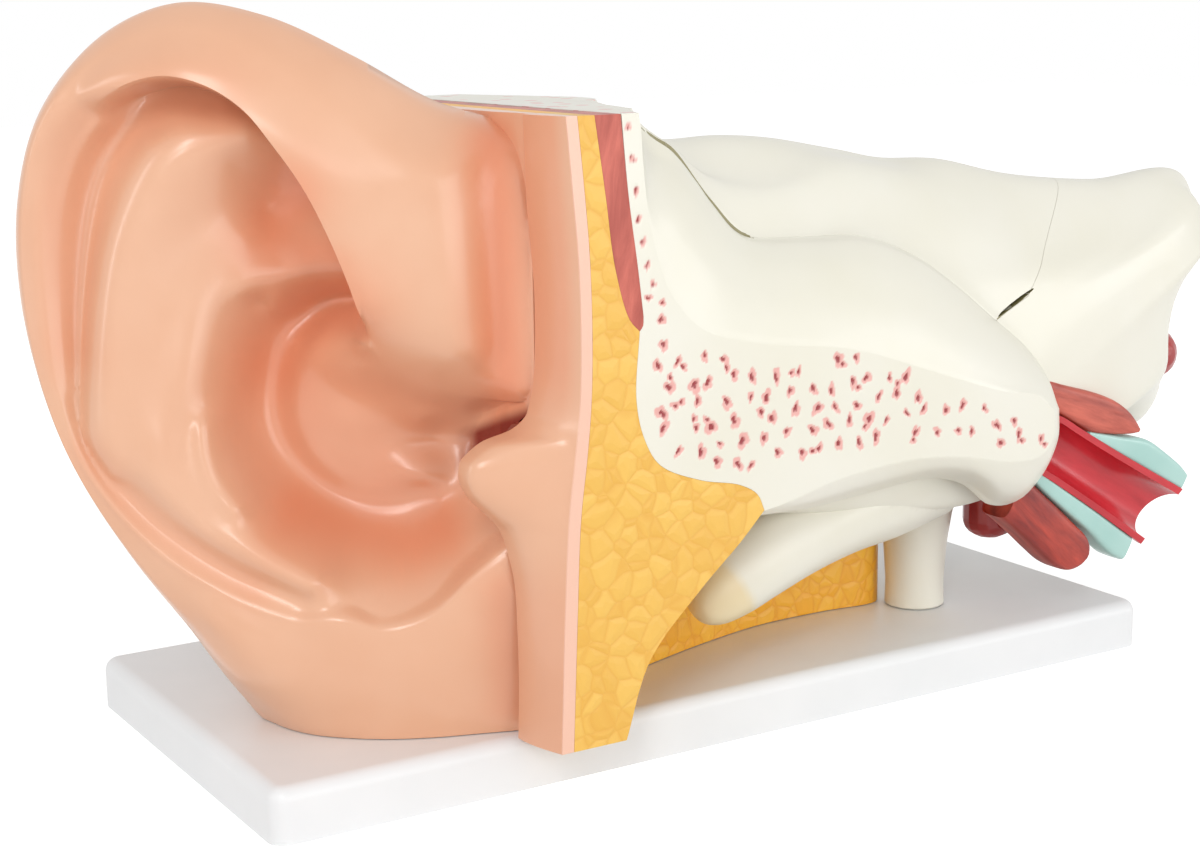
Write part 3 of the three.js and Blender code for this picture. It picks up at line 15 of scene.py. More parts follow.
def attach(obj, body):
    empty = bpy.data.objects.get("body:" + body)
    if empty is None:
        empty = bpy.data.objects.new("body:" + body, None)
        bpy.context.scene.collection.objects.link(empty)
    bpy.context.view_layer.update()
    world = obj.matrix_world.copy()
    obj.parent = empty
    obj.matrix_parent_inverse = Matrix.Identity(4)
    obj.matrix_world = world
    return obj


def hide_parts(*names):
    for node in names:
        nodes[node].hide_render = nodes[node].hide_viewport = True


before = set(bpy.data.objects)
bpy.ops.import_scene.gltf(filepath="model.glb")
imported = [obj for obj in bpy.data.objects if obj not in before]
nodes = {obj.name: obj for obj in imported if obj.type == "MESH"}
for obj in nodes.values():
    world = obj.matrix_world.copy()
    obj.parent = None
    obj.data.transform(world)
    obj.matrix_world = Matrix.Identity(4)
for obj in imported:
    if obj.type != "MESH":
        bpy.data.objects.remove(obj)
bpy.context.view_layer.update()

# %% [markdown]
# ## Sizes
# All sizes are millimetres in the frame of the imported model, and they are turned into metres when a mesh is
# made. The seam is the plane on which the front section comes off.

# %% Sizes
SEAM_Y = -66.0
FRONT_Y = -84.4
BACK_Y = 40.0
CUT_TOP_Z = 179.4
BASE_TOP_Z = 15.0
FOOT_Z = 15.3
GAP = 0.3
HAIRLINE = 0.04
NEAR_FACE = 0.05
SKIN_INNER_X = -69.6
HEAD_SKIN_X = -75.0
FACE_YAW = math.radians(30)

# %% [markdown]
# ## Helpers
# A loft makes a closed mesh from rings, a cut uses the boolean modifier, and a smooth line passes through
# measured points.

# %% Helpers for meshes


def deselect():
    bpy.ops.object.select_all(action="DESELECT")


def make_active(obj):
    deselect()
    obj.select_set(True)
    bpy.context.view_layer.objects.active = obj


def mesh_object(name, points, faces):
    """An object from points in millimetres."""
    mesh = bpy.data.meshes.new(name)
    mesh.from_pydata((np.asarray(points, float) / 1000).tolist(), [], faces)
    mesh.validate()
    obj = bpy.data.objects.new(name, mesh)
    bpy.context.scene.collection.objects.link(obj)
    return obj


def face_out(obj):
    make_active(obj)
    bpy.ops.object.mode_set(mode="EDIT")
    bpy.ops.mesh.select_all(action="SELECT")
    bpy.ops.mesh.normals_make_consistent(inside=False)
    bpy.ops.object.mode_set(mode="OBJECT")
    return obj


def loft(name, rings):
    """A closed solid through rings of the same count, with a flat face at each end."""
    rings = np.asarray(rings, float)
    count, around = rings.shape[:2]
    faces = []
    for r in range(count - 1):
        for i in range(around):
            j = (i + 1) % around
            faces.append((r * around + i, r * around + j, (r + 1) * around + j, (r + 1) * around + i))
    faces.append(tuple(range(around)))
    faces.append(tuple(range((count - 1) * around, count * around)))
    return face_out(mesh_object(name, rings.reshape(-1, 3), faces))


def prism_y(name, outline, from_y, to_y):
    """A solid with an outline of (x, z) pairs, from one y to another."""
    return loft(name, [[(x, y, z) for x, z in outline] for y in (from_y, to_y)])


def cut(obj, cutter, operation="DIFFERENCE"):
    """Cuts one solid by another, or joins or keeps their common part, and removes the other."""
    make_active(obj)
    modifier = obj.modifiers.new("cut", "BOOLEAN")
    modifier.operation = operation
    modifier.solver = "MANIFOLD"
    modifier.object = cutter
    bpy.ops.object.modifier_apply(modifier="cut")
    bpy.data.objects.remove(cutter)
    return obj


def cut_all(obj, *cutters):
    for cutter in cutters:
        cut(obj, cutter)
    return obj


def copy_of(obj, name):
    copy = obj.copy()
    copy.data = obj.data.copy()
    copy.name = name
    copy.parent = None
    bpy.context.scene.collection.objects.link(copy)
    return copy


def smooth_by_angle(obj, degrees=40):
    make_active(obj)
    bpy.ops.object.shade_smooth_by_angle(angle=math.radians(degrees))


def points_of(obj, what="co", scale=1000):
    """The places of a mesh's points in millimetres, or with another name and scale their normals."""
    values = np.empty(len(obj.data.vertices) * 3)
    obj.data.vertices.foreach_get(what, values)
    return values.reshape(-1, 3) * scale


def mark(obj, name, values, domain="POINT"):
    """Keeps a number for each point or face of a mesh, which the paint reads."""
    layer = obj.data.attributes.new(name, "FLOAT", domain)
    layer.data.foreach_set("value", np.asarray(values, np.float32))


def catmull(points, count, closed=False):
    """Evenly spaced points on a centripetal curve through the given points."""
    p = np.asarray(points, float)
    if closed:
        p = np.vstack([p[-1], p, p[0], p[1]])
    else:
        p = np.vstack([2 * p[0] - p[1], p, 2 * p[-1] - p[-2]])
    dense = []
    for i in range(1, len(p) - 2):
        p0, p1, p2, p3 = p[i - 1 : i + 3]
        legs = [max(np.linalg.norm(b - a), 1e-6) ** 0.5 for a, b in ((p0, p1), (p1, p2), (p2, p3))]
        t0, t1, t2, t3 = np.r_[0, np.cumsum(legs)]
        t = np.linspace(t1, t2, 24, endpoint=False)[:, None]
        a1 = (t1 - t) / (t1 - t0) * p0 + (t - t0) / (t1 - t0) * p1
        a2 = (t2 - t) / (t2 - t1) * p1 + (t - t1) / (t2 - t1) * p2
        a3 = (t3 - t) / (t3 - t2) * p2 + (t - t2) / (t3 - t2) * p3
        b1 = (t2 - t) / (t2 - t0) * a1 + (t - t0) / (t2 - t0) * a2
        b2 = (t3 - t) / (t3 - t1) * a2 + (t - t1) / (t3 - t1) * a3
        dense.append((t2 - t) / (t2 - t1) * b1 + (t - t1) / (t2 - t1) * b2)
    dense = np.vstack(dense + [p[-2][None]])
    steps = np.r_[0, np.cumsum(np.linalg.norm(np.diff(dense, axis=0), axis=1))]
    wanted = np.linspace(0, steps[-1], count + 1 if closed else count)
    if closed:
        wanted = wanted[:-1]
    return np.stack([np.interp(wanted, steps, dense[:, k]) for k in range(p.shape[1])], 1)


def moved(line, by):
    """A line shifted sideways in its first two directions, to its left for a positive distance."""
    line = np.array(line, float)
    step = np.gradient(line, axis=0)[:, :2]
    side = np.c_[-step[:, 1], step[:, 0]]
    line[:, :2] += by * side / np.linalg.norm(side, axis=1)[:, None]
    return line


def smooth_step(low, high, value):
    t = np.clip((value - low) / (high - low), 0, 1)
    return t * t * (3 - 2 * t)


def height_through(points, softness=0.0):
    """A smooth height over the plane through the given points (thin plate spline)."""
    p = np.asarray(points, float)
    xy, z = p[:, :2], p[:, 2]
    n = len(p)
    give = softness * np.eye(n)

    def bend(a, b):
        r2 = ((a[:, None, :] - b[None, :, :]) ** 2).sum(2)
        return 0.5 * r2 * np.log(np.maximum(r2, 1e-12))

    left = np.zeros((n + 3, n + 3))
    left[:n, :n] = bend(xy, xy) + give
    left[:n, n:] = np.c_[np.ones(n), xy]
    left[n:, :n] = left[:n, n:].T
    weight = np.linalg.solve(left, np.r_[z, np.zeros(3)])
    return lambda q: bend(q, xy) @ weight[:n] + np.c_[np.ones(len(q)), q] @ weight[n:]


def distance_to_line(q, line):
    """The distance of each point from the nearest part of a line."""
    nearest = np.full(len(q), np.inf)
    for a, b in zip(line[:-1], line[1:]):
        d = b - a
        t = np.clip(((q - a) @ d) / (d @ d), 0, 1)[:, None]
        nearest = np.minimum(nearest, np.linalg.norm(q - a - t * d, axis=1))
    return nearest


print("helpers ready")

# %% [markdown]
# ## Materials
# Every material is procedural and uses object coordinates or attributes, in metres.

# %% Materials


def new_material(name):
    material = bpy.data.materials.new(name)
    material.use_nodes = True
    tree = material.node_tree
    tree.nodes.clear()
    out = tree.nodes.new("ShaderNodeOutputMaterial")
    shader = tree.nodes.new("ShaderNodeBsdfPrincipled")
    tree.links.new(shader.outputs["BSDF"], out.inputs["Surface"])
    return material, tree, shader


def feed(tree, socket, value):
    """Sets a socket from a node's output, a colour, a vector or a number."""
    if isinstance(value, bpy.types.NodeSocket):
        tree.links.new(value, socket)
    elif socket.type == "RGBA" and len(value) == 3:
        socket.default_value = (*value, 1)
    else:
        socket.default_value = value


def add_node(tree, kind, *inputs, **values):
    """A node with its inputs or settings by name, and its first inputs in their order."""
    node = tree.nodes.new(kind)
    for key, value in values.items():
        if key in node.inputs:
            feed(tree, node.inputs[key], value)
        else:
            setattr(node, key, value)
    for socket, value in zip(node.inputs, inputs):
        feed(tree, socket, value)
    return node


def coordinates(tree, scale=(1, 1, 1), rotation=(0, 0, 0)):
    place = tree.nodes.new("ShaderNodeTexCoord").outputs["Object"]
    turned = add_node(tree, "ShaderNodeMapping", place, Rotation=rotation)
    return add_node(tree, "ShaderNodeMapping", turned.outputs["Vector"], Scale=scale).outputs["Vector"]


def noise(tree, vector, scale, detail=3.0, roughness=0.5, distortion=0.0):
    node = add_node(tree, "ShaderNodeTexNoise", Vector=vector, Scale=scale, Detail=detail, Roughness=roughness,
                    Distortion=distortion)
    return node.outputs["Fac"]


def ramp(tree, value, low, high):
    """Two colours, each with its place on the ramp."""
    node = add_node(tree, "ShaderNodeValToRGB", value)
    for element, (position, colour) in zip(node.color_ramp.elements, (low, high)):
        element.position = position
        element.color = (*colour, 1)
    return node.outputs["Color"]


def mix(tree, factor, first, second, blend="MIX"):
    node = add_node(tree, "ShaderNodeMix", data_type="RGBA", blend_type=blend)
    for i, value in ((0, factor), (6, first), (7, second)):
        feed(tree, node.inputs[i], value)
    return node.outputs[2]


def attribute(tree, name):
    return add_node(tree, "ShaderNodeAttribute", attribute_name=name).outputs["Fac"]


def calculate(tree, operation, first, second):
    return add_node(tree, "ShaderNodeMath", first, second, operation=operation).outputs[0]


def fade(tree, value, low, high):
    values = {"Value": value, "From Min": low, "From Max": high}
    return add_node(tree, "ShaderNodeMapRange", interpolation_type="SMOOTHSTEP", **values).outputs["Result"]


def surface(material, tone, finish, height, depth, strength=0.5, **more):
    """Joins a tone, a roughness and a fine relief to a material's shader."""
    tree = material.node_tree
    relief = add_node(tree, "ShaderNodeBump", Distance=depth, Strength=strength, Height=height)
    values = {"Base Color": tone, "Roughness": finish, "Normal": relief.outputs["Normal"], **more}
    for name, value in values.items():
        feed(tree, tree.nodes["Principled BSDF"].inputs[name], value)
    return material


# The mouth of the ear canal in metres: where its shade fades from nothing to full, or from full to nothing.
SHADE_FROM_LEFT = (-0.0805, -0.0768)
SHADE_FROM_SEAM = (-0.0662, -0.0655)
SHADE_FROM_BELOW = (0.078, 0.084)
SHADE_TO_BACK = (-0.040, -0.029)
SHADE_TO_TOP = (0.0016, 0.0056)
SHADE_TOP_Z, SHADE_TOP_Y, SHADE_SLOPE = 0.0942, -0.0488, 0.35


def canal_mouth_painted_shade(tree, where):
    """Painted shade, deep red, in the mouth of the ear canal, below a line that sinks from the seam to the back."""
    x, y, z = add_node(tree, "ShaderNodeSeparateXYZ", where).outputs
    slope = calculate(tree, "MULTIPLY", calculate(tree, "SUBTRACT", y, SHADE_TOP_Y), SHADE_SLOPE)
    up = calculate(tree, "ADD", calculate(tree, "SUBTRACT", z, SHADE_TOP_Z), slope)
    share = calculate(tree, "SUBTRACT", 1.0, fade(tree, up, *SHADE_TO_TOP))
    share = calculate(tree, "MULTIPLY", share, calculate(tree, "SUBTRACT", 1.0, fade(tree, y, *SHADE_TO_BACK)))
    for value, limits in ((x, SHADE_FROM_LEFT), (y, SHADE_FROM_SEAM), (z, SHADE_FROM_BELOW)):
        share = calculate(tree, "MULTIPLY", share, fade(tree, value, *limits))
    return share


def skin_material():
    material, tree, _ = new_material("skin_paint")
    where = coordinates(tree)
    tone = ramp(tree, noise(tree, where, 28, 3, 0.55), (0.3, (0.735, 0.402, 0.250)), (0.7, (0.765, 0.442, 0.286)))
    # The hollows are painted a darker orange: partly the skin's own tint, partly painted shade.
    tone = mix(tree, attribute(tree, "tint_and_painted_shade"), tone, (0.74, 0.255, 0.13))
    # Painted shade in the mouth of the canal.
    tone = mix(tree, canal_mouth_painted_shade(tree, where), tone, (0.20, 0.012, 0.006))
    tone = mix(tree, attribute(tree, "pale"), tone, (0.84, 0.51, 0.38))
    return surface(material, tone, 0.3, noise(tree, where, 700, 2), 0.00003,
                   **{"Coat Weight": 0.25, "Coat Roughness": 0.16})


FAT_CELLS = 175


def fat_material(name, low, high, line):
    """Cobbled fat: cells of uneven shape, each with its own tint, and sunk lines between them."""
    material, tree, _ = new_material(name)
    where = coordinates(tree)
    bend = add_node(tree, "ShaderNodeTexNoise", Vector=where, Scale=60, Detail=2.0)
    bent = add_node(tree, "ShaderNodeVectorMath", bend.outputs["Color"], (0.006, 0.006, 0.006), where,
                    operation="MULTIPLY_ADD").outputs["Vector"]
    far = add_node(tree, "ShaderNodeTexVoronoi", Vector=bent, Scale=FAT_CELLS, feature="DISTANCE_TO_EDGE")
    tint = add_node(tree, "ShaderNodeTexVoronoi", Vector=bent, Scale=FAT_CELLS)
    body = ramp(tree, tint.outputs["Color"], (0.2, low), (0.8, high))
    edge = ramp(tree, far.outputs["Distance"], (0.0, (0.6, 0.6, 0.6)), (0.1, (0, 0, 0)))
    rise = ramp(tree, far.outputs["Distance"], (0.0, (0, 0, 0)), (0.3, (1, 1, 1)))
    return surface(material, mix(tree, edge, body, line), 0.42, rise, 0.0004, 0.7)


def streaked_material(name, dark, light, direction, finish=0.4, depth=0.0004):
    """Fibres run along one direction in the XZ plane, given as an angle from +X in degrees."""
    material, tree, _ = new_material(name)
    fibres = noise(tree, coordinates(tree, (30, 140, 170), (0, math.radians(direction), 0)), 1.0, 5, 0.6, 0.3)
    streaks = ramp(tree, fibres, (0.34, dark), (0.62, light))
    tone = mix(tree, noise(tree, coordinates(tree), 60, 2), streaks, dark, "MULTIPLY")
    return surface(material, mix(tree, 0.55, tone, streaks), finish, fibres, depth, 0.7)


def bone_material():
    """Ivory, with the painted marks, painted shade in the open joints, an ochre painted reflection at the lobe's end,
    and with dots of spongy bone on the flat top of the cut head.
    """
    material, tree, _ = new_material("bone_paint")
    where = coordinates(tree)
    tone = ramp(tree, noise(tree, where, 22, 3), (0.3, (0.765, 0.74, 0.625)), (0.7, (0.795, 0.775, 0.685)))
    # The ochre at the lobe's end is a painted reflection of the fat, and the dark olive in the joints is painted
    # shade.
    for name, colour in (("tip", (0.78, 0.66, 0.42)), ("joint", (0.26, 0.23, 0.10)),
                         ("blot", (0.78, 0.40, 0.36)), ("core", (0.30, 0.025, 0.03))):
        tone = mix(tree, attribute(tree, name), tone, colour)
    height = add_node(tree, "ShaderNodeSeparateXYZ", where).outputs["Z"]
    on_top = calculate(tree, "GREATER_THAN", height, CUT_TOP_Z / 1000 - 0.0002)
    cells = add_node(tree, "ShaderNodeTexVoronoi", Vector=where, Scale=135, Randomness=0.9)
    dots = ramp(tree, cells.outputs["Distance"], (0.22, (1, 1, 1)), (0.30, (0, 0, 0)))
    tone = mix(tree, calculate(tree, "MULTIPLY", on_top, dots), tone, (0.76, 0.40, 0.36))
    return surface(material, tone, 0.34, noise(tree, where, 240, 3), 0.00004, 0.6, **{"Coat Weight": 0.1})


def plain_material(name, low, high, finish, scale=40, metallic=0.0, grain=400, coat=0.0):
    material, tree, _ = new_material(name)
    where = coordinates(tree)
    tone = ramp(tree, noise(tree, where, scale, 3), (0.3, low), (0.7, high))
    return surface(material, tone, finish, noise(tree, where, grain, 2), 0.00003,
                   **{"Metallic": metallic, "Coat Weight": coat})


skin = skin_material()
fat = fat_material("fat_paint", (0.79, 0.445, 0.072), (0.84, 0.51, 0.10), (0.75, 0.39, 0.055))
# The rear fat is painted brighter and more orange than the front fat: painted light, which makes up for the light
# that the bone above keeps off it.
rear_fat_paint_with_painted_light = fat_material("rear_fat_paint_with_painted_light", (0.94, 0.46, 0.035), (0.97, 0.53, 0.055), (0.84, 0.36, 0.025))
bone = bone_material()
muscle = streaked_material("muscle_paint", (0.38, 0.055, 0.035), (0.68, 0.165, 0.115), 80)
tensor_paint = streaked_material("tensor_paint", (0.34, 0.043, 0.025), (0.74, 0.17, 0.11), -20)
levator_paint = streaked_material("levator_paint", (0.24, 0.013, 0.008), (0.58, 0.060, 0.030), -42)
mucosa_paint = streaked_material("mucosa_paint", (0.50, 0.008, 0.02), (0.66, 0.025, 0.04), -31, 0.26, 0.00006)
cartilage_paint = plain_material("cartilage_paint", (0.35, 0.58, 0.53), (0.43, 0.65, 0.60), 0.3, coat=0.2)
artery_paint = plain_material("artery_paint", (0.30, 0.010, 0.010), (0.40, 0.022, 0.018), 0.3, 90, coat=0.1)
base_paint = plain_material("base_plastic", (0.79, 0.80, 0.805), (0.83, 0.835, 0.84), 0.42, 30, grain=900)
steel = plain_material("pin_steel", (0.50, 0.51, 0.53), (0.60, 0.61, 0.63), 0.3, 60, 1.0)
drum_paint = plain_material("drum_paint", (0.78, 0.55, 0.40), (0.84, 0.62, 0.48), 0.35, 120)
labyrinth_paint = plain_material("labyrinth_paint", (0.74, 0.64, 0.44), (0.80, 0.71, 0.52), 0.34, 90)
nerve_paint = streaked_material("nerve_paint", (0.72, 0.50, 0.08), (0.88, 0.68, 0.20), 10, 0.4, 0.0002)
print(len(bpy.data.materials), "materials")


def finish_piece(obj, material, body, slot, *stands_for):
    """Paints a piece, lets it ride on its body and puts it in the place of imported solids."""
    obj.data.materials.clear()
    obj.data.materials.append(material)
    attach(obj, body)
    if stands_for:
        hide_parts(*stands_for)


# %% [markdown]
# ## Auricle
# The relief stands on a plane turned 30 degrees. Its height passes through measured points, once for the
# outer roll with the lobe and once for the bowl inside it, and the edge of the roll parts the two.

# %% Auricle relief
AURICLE_RIM = [(-20, 170), (-37, 177), (-54, 182.5), (-74, 194), (-96, 204.5), (-118, 208), (-138, 200),
               (-154, 182), (-162, 158), (-163, 135), (-159, 112), (-150, 87), (-137, 63), (-123.5, 42),
               (-112, 23.5), (-105.5, 14), (-97, 6), (-80, 2), (-20, 2), (-14, 60), (-12, 120)]
RIM_DEPTH = [(-37, 177, 80), (-96, 204, 84), (-138, 200, 83), (-163, 150, 80), (-159, 112, 80),
             (-137, 63, 80), (-123.5, 42, 79), (-112, 23.5, 79), (-105.5, 14, 77), (-60, 2, 60),
             (-14, 60, 60), (-12, 120, 60)]
HELIX_EDGE = [(-95, 50), (-108, 55), (-124, 64), (-138.5, 78), (-147.5, 92), (-151.5, 106), (-153, 122),
              (-152.5, 140), (-150.5, 156), (-146, 170), (-138, 181), (-129, 186.5), (-119, 188.5),
              (-109, 186), (-100, 180), (-93, 171), (-86, 160), (-80.5, 148), (-76.5, 137), (-73.5, 127),
              (-69, 117), (-62, 110), (-52, 106), (-40, 104), (-20, 104), (-20, 74), (-36, 70), (-48, 61),
              (-58, 51.5), (-70, 47.5), (-80, 51)]
HELIX_EDGE_SOFTNESS = 4.0

# Lines on the relief: each has its points as u, v and height. Where the roll has no overhang the outer
# and the inner face share lines, so that they meet on one slope.
SHARED_LINES = [
    [(-141, 181.5, 89), (-147.5, 172.5, 88.5), (-151.5, 160, 88.5), (-153.5, 145, 89), (-153.8, 128, 89.5),
     (-152.5, 110, 90.5), (-148, 93.5, 92), (-139, 79, 93.5), (-124.5, 65, 95.5), (-109, 56, 97),
     (-96, 51, 98.5)],
    [(-143.5, 184, 91.2), (-150, 174.5, 90.5), (-154, 161, 90), (-155.8, 145, 90), (-156, 128, 90.2),
     (-154.5, 110, 91.2)],
    [(-138, 178.5, 86.3), (-144.5, 170, 86), (-149, 158.5, 86.8), (-151, 145, 87.3), (-151.4, 128, 88),
     (-150.3, 110, 89.3)],
    [(-74.5, 121, 91), (-69, 113, 86.5), (-61, 108, 84), (-51, 105, 83), (-42, 104, 83.5)],
    [(-71, 123.5, 95.5), (-66, 117, 92), (-59, 112.5, 89.5), (-50, 109.5, 88.5), (-42, 108.5, 88)],
    [(-75, 114, 83.5), (-70, 108, 80), (-62, 103.5, 78), (-52, 101, 76.5), (-44, 100.5, 76.5)],
]
OUTER_LINES = [
    [(-50, 170, 98.5), (-62, 177, 98), (-76, 187, 96), (-92, 195, 95), (-106, 199.5, 94), (-120, 200, 93),
     (-134, 195, 92), (-146.5, 182.5, 91.5), (-154.5, 166, 90.5), (-158.5, 149, 89.5), (-158.8, 130, 89.5),
     (-155.5, 110, 90.5), (-147, 89, 92), (-132.5, 65, 93.5), (-118.5, 44, 93)],
    [(-142, 185.3, 92.5), (-136, 188.5, 94.8), (-128, 191, 97), (-119, 192, 98.8), (-109.5, 189.5, 100),
     (-100.5, 183.8, 101), (-92.5, 175.3, 101.8), (-85, 163.3, 102), (-79, 151.3, 102), (-75, 140, 102),
     (-72, 131, 101.3)],
    [(-60, 165, 101.5), (-60, 150, 101.5), (-59, 137, 101), (-56.5, 126, 99.5), (-52, 117, 96)],
    [(-68, 128, 99.5), (-62, 121, 96.5), (-54, 116.5, 95), (-46, 114.5, 93)],
    [(-47.5, 168, 98.5), (-46.5, 150, 98.5), (-45.5, 132, 97.8), (-44.5, 120, 96)],
    [(-41, 168, 94), (-40.5, 150, 93.5), (-40, 130, 92.5), (-39.5, 114, 90.5)],
    [(-35.5, 170, 94), (-34.5, 150, 93), (-34, 130, 92.5), (-34, 108, 92)],
    [(-86, 56, 99.5), (-79, 50, 100.5), (-70, 46.5, 100), (-60, 48.5, 99.5), (-51, 56, 99), (-42, 64.5, 97.5),
     (-34, 68, 96.5)],
    [(-116, 49, 97), (-106, 43, 99.5), (-92, 39, 100), (-78, 37, 100.3), (-62, 37, 100), (-49, 40, 98.5),
     (-41, 48, 96)],
    [(-108, 33, 95.5), (-98, 29, 97.5), (-84, 27, 98.8), (-70, 26, 98.8), (-57, 26, 98), (-47, 28, 96),
     (-39, 31, 94)],
    [(-106.8, 15, 79.5), (-101, 15, 85.5), (-94, 15, 90.5), (-86, 15, 94), (-72, 15, 96.5), (-58, 15, 96),
     (-47, 15, 94), (-36, 15, 92)],
    [(-20, 170, 90), (-20, 140, 90), (-20, 104, 90), (-20, 60, 92), (-20, 30, 92)],
]
INNER_LINES = [
    [(-101, 176.5, 88), (-108, 174, 90.5), (-114.5, 169.5, 91.8), (-120.5, 162.5, 92.3), (-126, 153.5, 92.7),
     (-130.3, 144, 93.2), (-133.3, 133, 93.8), (-135.6, 121, 94.3), (-137, 110, 94.8), (-136, 99, 95.5),
     (-131, 88.5, 96.3), (-122.5, 79, 97.2), (-112, 70, 98), (-102, 63.5, 98.8), (-92, 58.5, 99.5)],
    [(-100, 181, 80), (-109, 185, 80), (-119.5, 185, 80), (-130, 181, 80), (-138, 173.5, 81), (-143.5, 164, 82.3),
     (-146, 152, 83.3), (-147.3, 140, 84.3), (-148.3, 126, 85.5), (-149, 113, 87), (-148.3, 101, 88.5),
     (-143.5, 88.5, 90.3), (-134, 78, 92), (-122, 69.5, 93.3), (-109, 61.5, 94.8), (-99, 57, 95.8),
     (-91, 53.5, 97.2)],
    [(-111, 181.5, 83), (-121, 180.5, 84), (-128.5, 175.2, 84.3), (-134.8, 167.5, 84.3), (-139.3, 158, 84.3),
     (-142.3, 148.5, 84.5), (-144.6, 138, 84.8), (-146.3, 127, 85.4), (-147.6, 115, 86.4), (-148.2, 104, 87.8)],
    [(-108, 179, 86.5), (-118, 178.6, 87.5), (-126.3, 173.9, 88), (-132.6, 166.2, 88), (-137.1, 157.2, 88),
     (-140.3, 148, 88.3), (-142.7, 138, 88.6), (-144.4, 127, 89.2), (-145.7, 115, 90), (-146.3, 104, 91),
     (-145.8, 96.5, 92), (-140, 88, 93)],
    [(-105, 167, 86), (-111.5, 159, 88), (-116.5, 150, 89), (-119.5, 141, 90), (-122, 130, 91.5), (-125, 118, 93),
     (-127, 107, 94.5), (-125, 97, 96)],
    [(-107, 139, 86.5), (-111.5, 130, 88), (-114.5, 119, 90), (-117, 108, 92), (-118.5, 98, 94.2),
     (-116.5, 88, 96), (-111, 78, 97), (-103, 70.5, 97.8), (-94, 64.5, 98.3), (-87, 60.5, 98.8)],
    [(-114.7, 101, 93), (-114, 93, 94.6), (-111.5, 85.5, 95.8), (-106.5, 79.5, 96.3)],
    [(-102, 130.5, 77), (-105.5, 122, 77), (-107.5, 112, 77.5), (-109, 102, 78.5), (-107.8, 92, 80),
     (-103.5, 83.5, 81), (-97, 75, 82.5), (-87.5, 67.5, 84.5), (-78, 61.5, 85), (-67, 58.8, 85.5),
     (-57, 62, 85), (-47, 70, 83)],
    [(-97, 124, 68.2), (-101, 115, 68.2), (-103.5, 106, 68.8), (-103.5, 96, 69.6), (-100.5, 87, 70.8),
     (-94.5, 79.5, 71.6), (-86, 73.5, 72.2), (-76, 70, 72.4), (-66, 70, 72.2), (-56, 74, 71.4)],
    [(-88, 167, 78), (-95, 161, 76.5), (-99, 154, 77.5)],
    [(-84, 157, 74.5), (-90, 155, 75.6), (-97, 150.5, 78.6), (-104, 148, 84)],
    [(-80, 149.5, 75.4), (-88, 148, 77.2), (-97, 145, 80.6), (-105, 142, 85.5)],
    [(-77, 143.5, 77.2), (-86, 143.4, 78.6), (-95, 141.2, 81)],
    [(-75, 138.5, 77), (-84, 138.8, 78.6), (-92, 138, 80.8), (-99, 136.3, 83), (-105, 134.5, 85.5)],
    [(-74, 132.5, 71.5), (-84, 133, 71.2), (-92, 131.5, 72.5), (-98, 129, 76)],
    [(-76, 129, 68), (-83, 129, 66), (-89, 126, 65.5), (-94.5, 121, 66.8)],
    [(-76, 124, 79.4), (-82, 122.5, 75.2), (-87, 119.5, 73), (-91, 115.5, 71.6), (-93.5, 110.5, 70.8),
     (-94.5, 104.5, 70.4), (-94.5, 98, 70.4), (-92.5, 91.5, 70.5), (-88.5, 85.8, 70.7), (-83, 81.3, 70.9)],
    [(-76, 78.5, 71), (-68, 77.5, 70.9), (-61, 78, 70.8)],
    [(-89, 109, 72.2), (-84, 105.5, 72), (-79, 103, 72.4)],
    [(-76, 116, 83), (-82, 113, 77), (-86, 110.5, 73.5)],
    [(-89, 101, 71.2), (-86.5, 94, 70.6), (-81.5, 89.5, 70.2), (-75, 87, 70.2)],
    [(-82, 97.5, 71.2), (-75, 95, 71.2), (-66, 93.5, 70), (-57, 91.5, 67)],
    [(-66, 83, 71.8), (-60, 81, 72.2), (-54, 80, 71)],
    [(-60, 98, 73.5), (-52, 96, 70.5), (-45, 96, 72)],
    [(-47, 90, 68), (-41, 90, 76), (-46, 82, 72), (-40, 80, 80), (-34, 84, 86), (-22, 90, 92)],
]
BACK_FACE = [
    (-118, 15, 52), (-105, 15, 28), (-90, 15, 8), (-60, 15, 0), (-122, 45, 64), (-105, 45, 45),
    (-90, 45, 22), (-60, 45, 0), (-145, 75, 79), (-122, 75, 68), (-100, 75, 48), (-85, 75, 30),
    (-60, 75, 5), (-156, 100, 78), (-132, 100, 70), (-110, 100, 52), (-90, 100, 42), (-75, 100, 36),
    (-60, 100, 20), (-160, 130, 77), (-140, 130, 70), (-115, 130, 60), (-95, 130, 48), (-80, 130, 40),
    (-60, 130, 20), (-160, 160, 79), (-140, 160, 71), (-115, 160, 66), (-95, 160, 56), (-78, 160, 48),
    (-60, 160, 30), (-148, 185, 81), (-120, 190, 78), (-100, 190, 79), (-80, 182, 74), (-60, 174, 58),
    (-42, 168, 40), (-118, 203, 84), (-96, 200, 84), (-15, 100, 0), (-15, 15, 0),
]
AURICLE_CENTRE = np.array([-80.0, 95.0])
RIM_ROUNDING = 0.3
LINE_SOFTNESS = 3.0


def spread(lines, spacing=3.0):
    """Points along smooth lines, close enough together to hold the lines on the surface."""
    points = []
    for line in lines:
        length = np.linalg.norm(np.diff(np.asarray(line, float), axis=0), axis=1).sum()
        points.append(catmull(line, max(3, int(length / spacing) + 1)))
    return np.vstack(points)


outer_height = height_through(spread(OUTER_LINES + SHARED_LINES), LINE_SOFTNESS)
inner_height = height_through(spread(INNER_LINES + SHARED_LINES), LINE_SOFTNESS)
back_height = height_through(BACK_FACE)
rim_height = height_through(RIM_DEPTH)


def from_face(uv, w):
    """Places in the frame from places on the turned plane and heights over it."""
    c, s = math.cos(FACE_YAW), math.sin(FACE_YAW)
    return np.stack([c * uv[:, 0] - s * w, -s * uv[:, 0] - c * w, uv[:, 1]], 1)


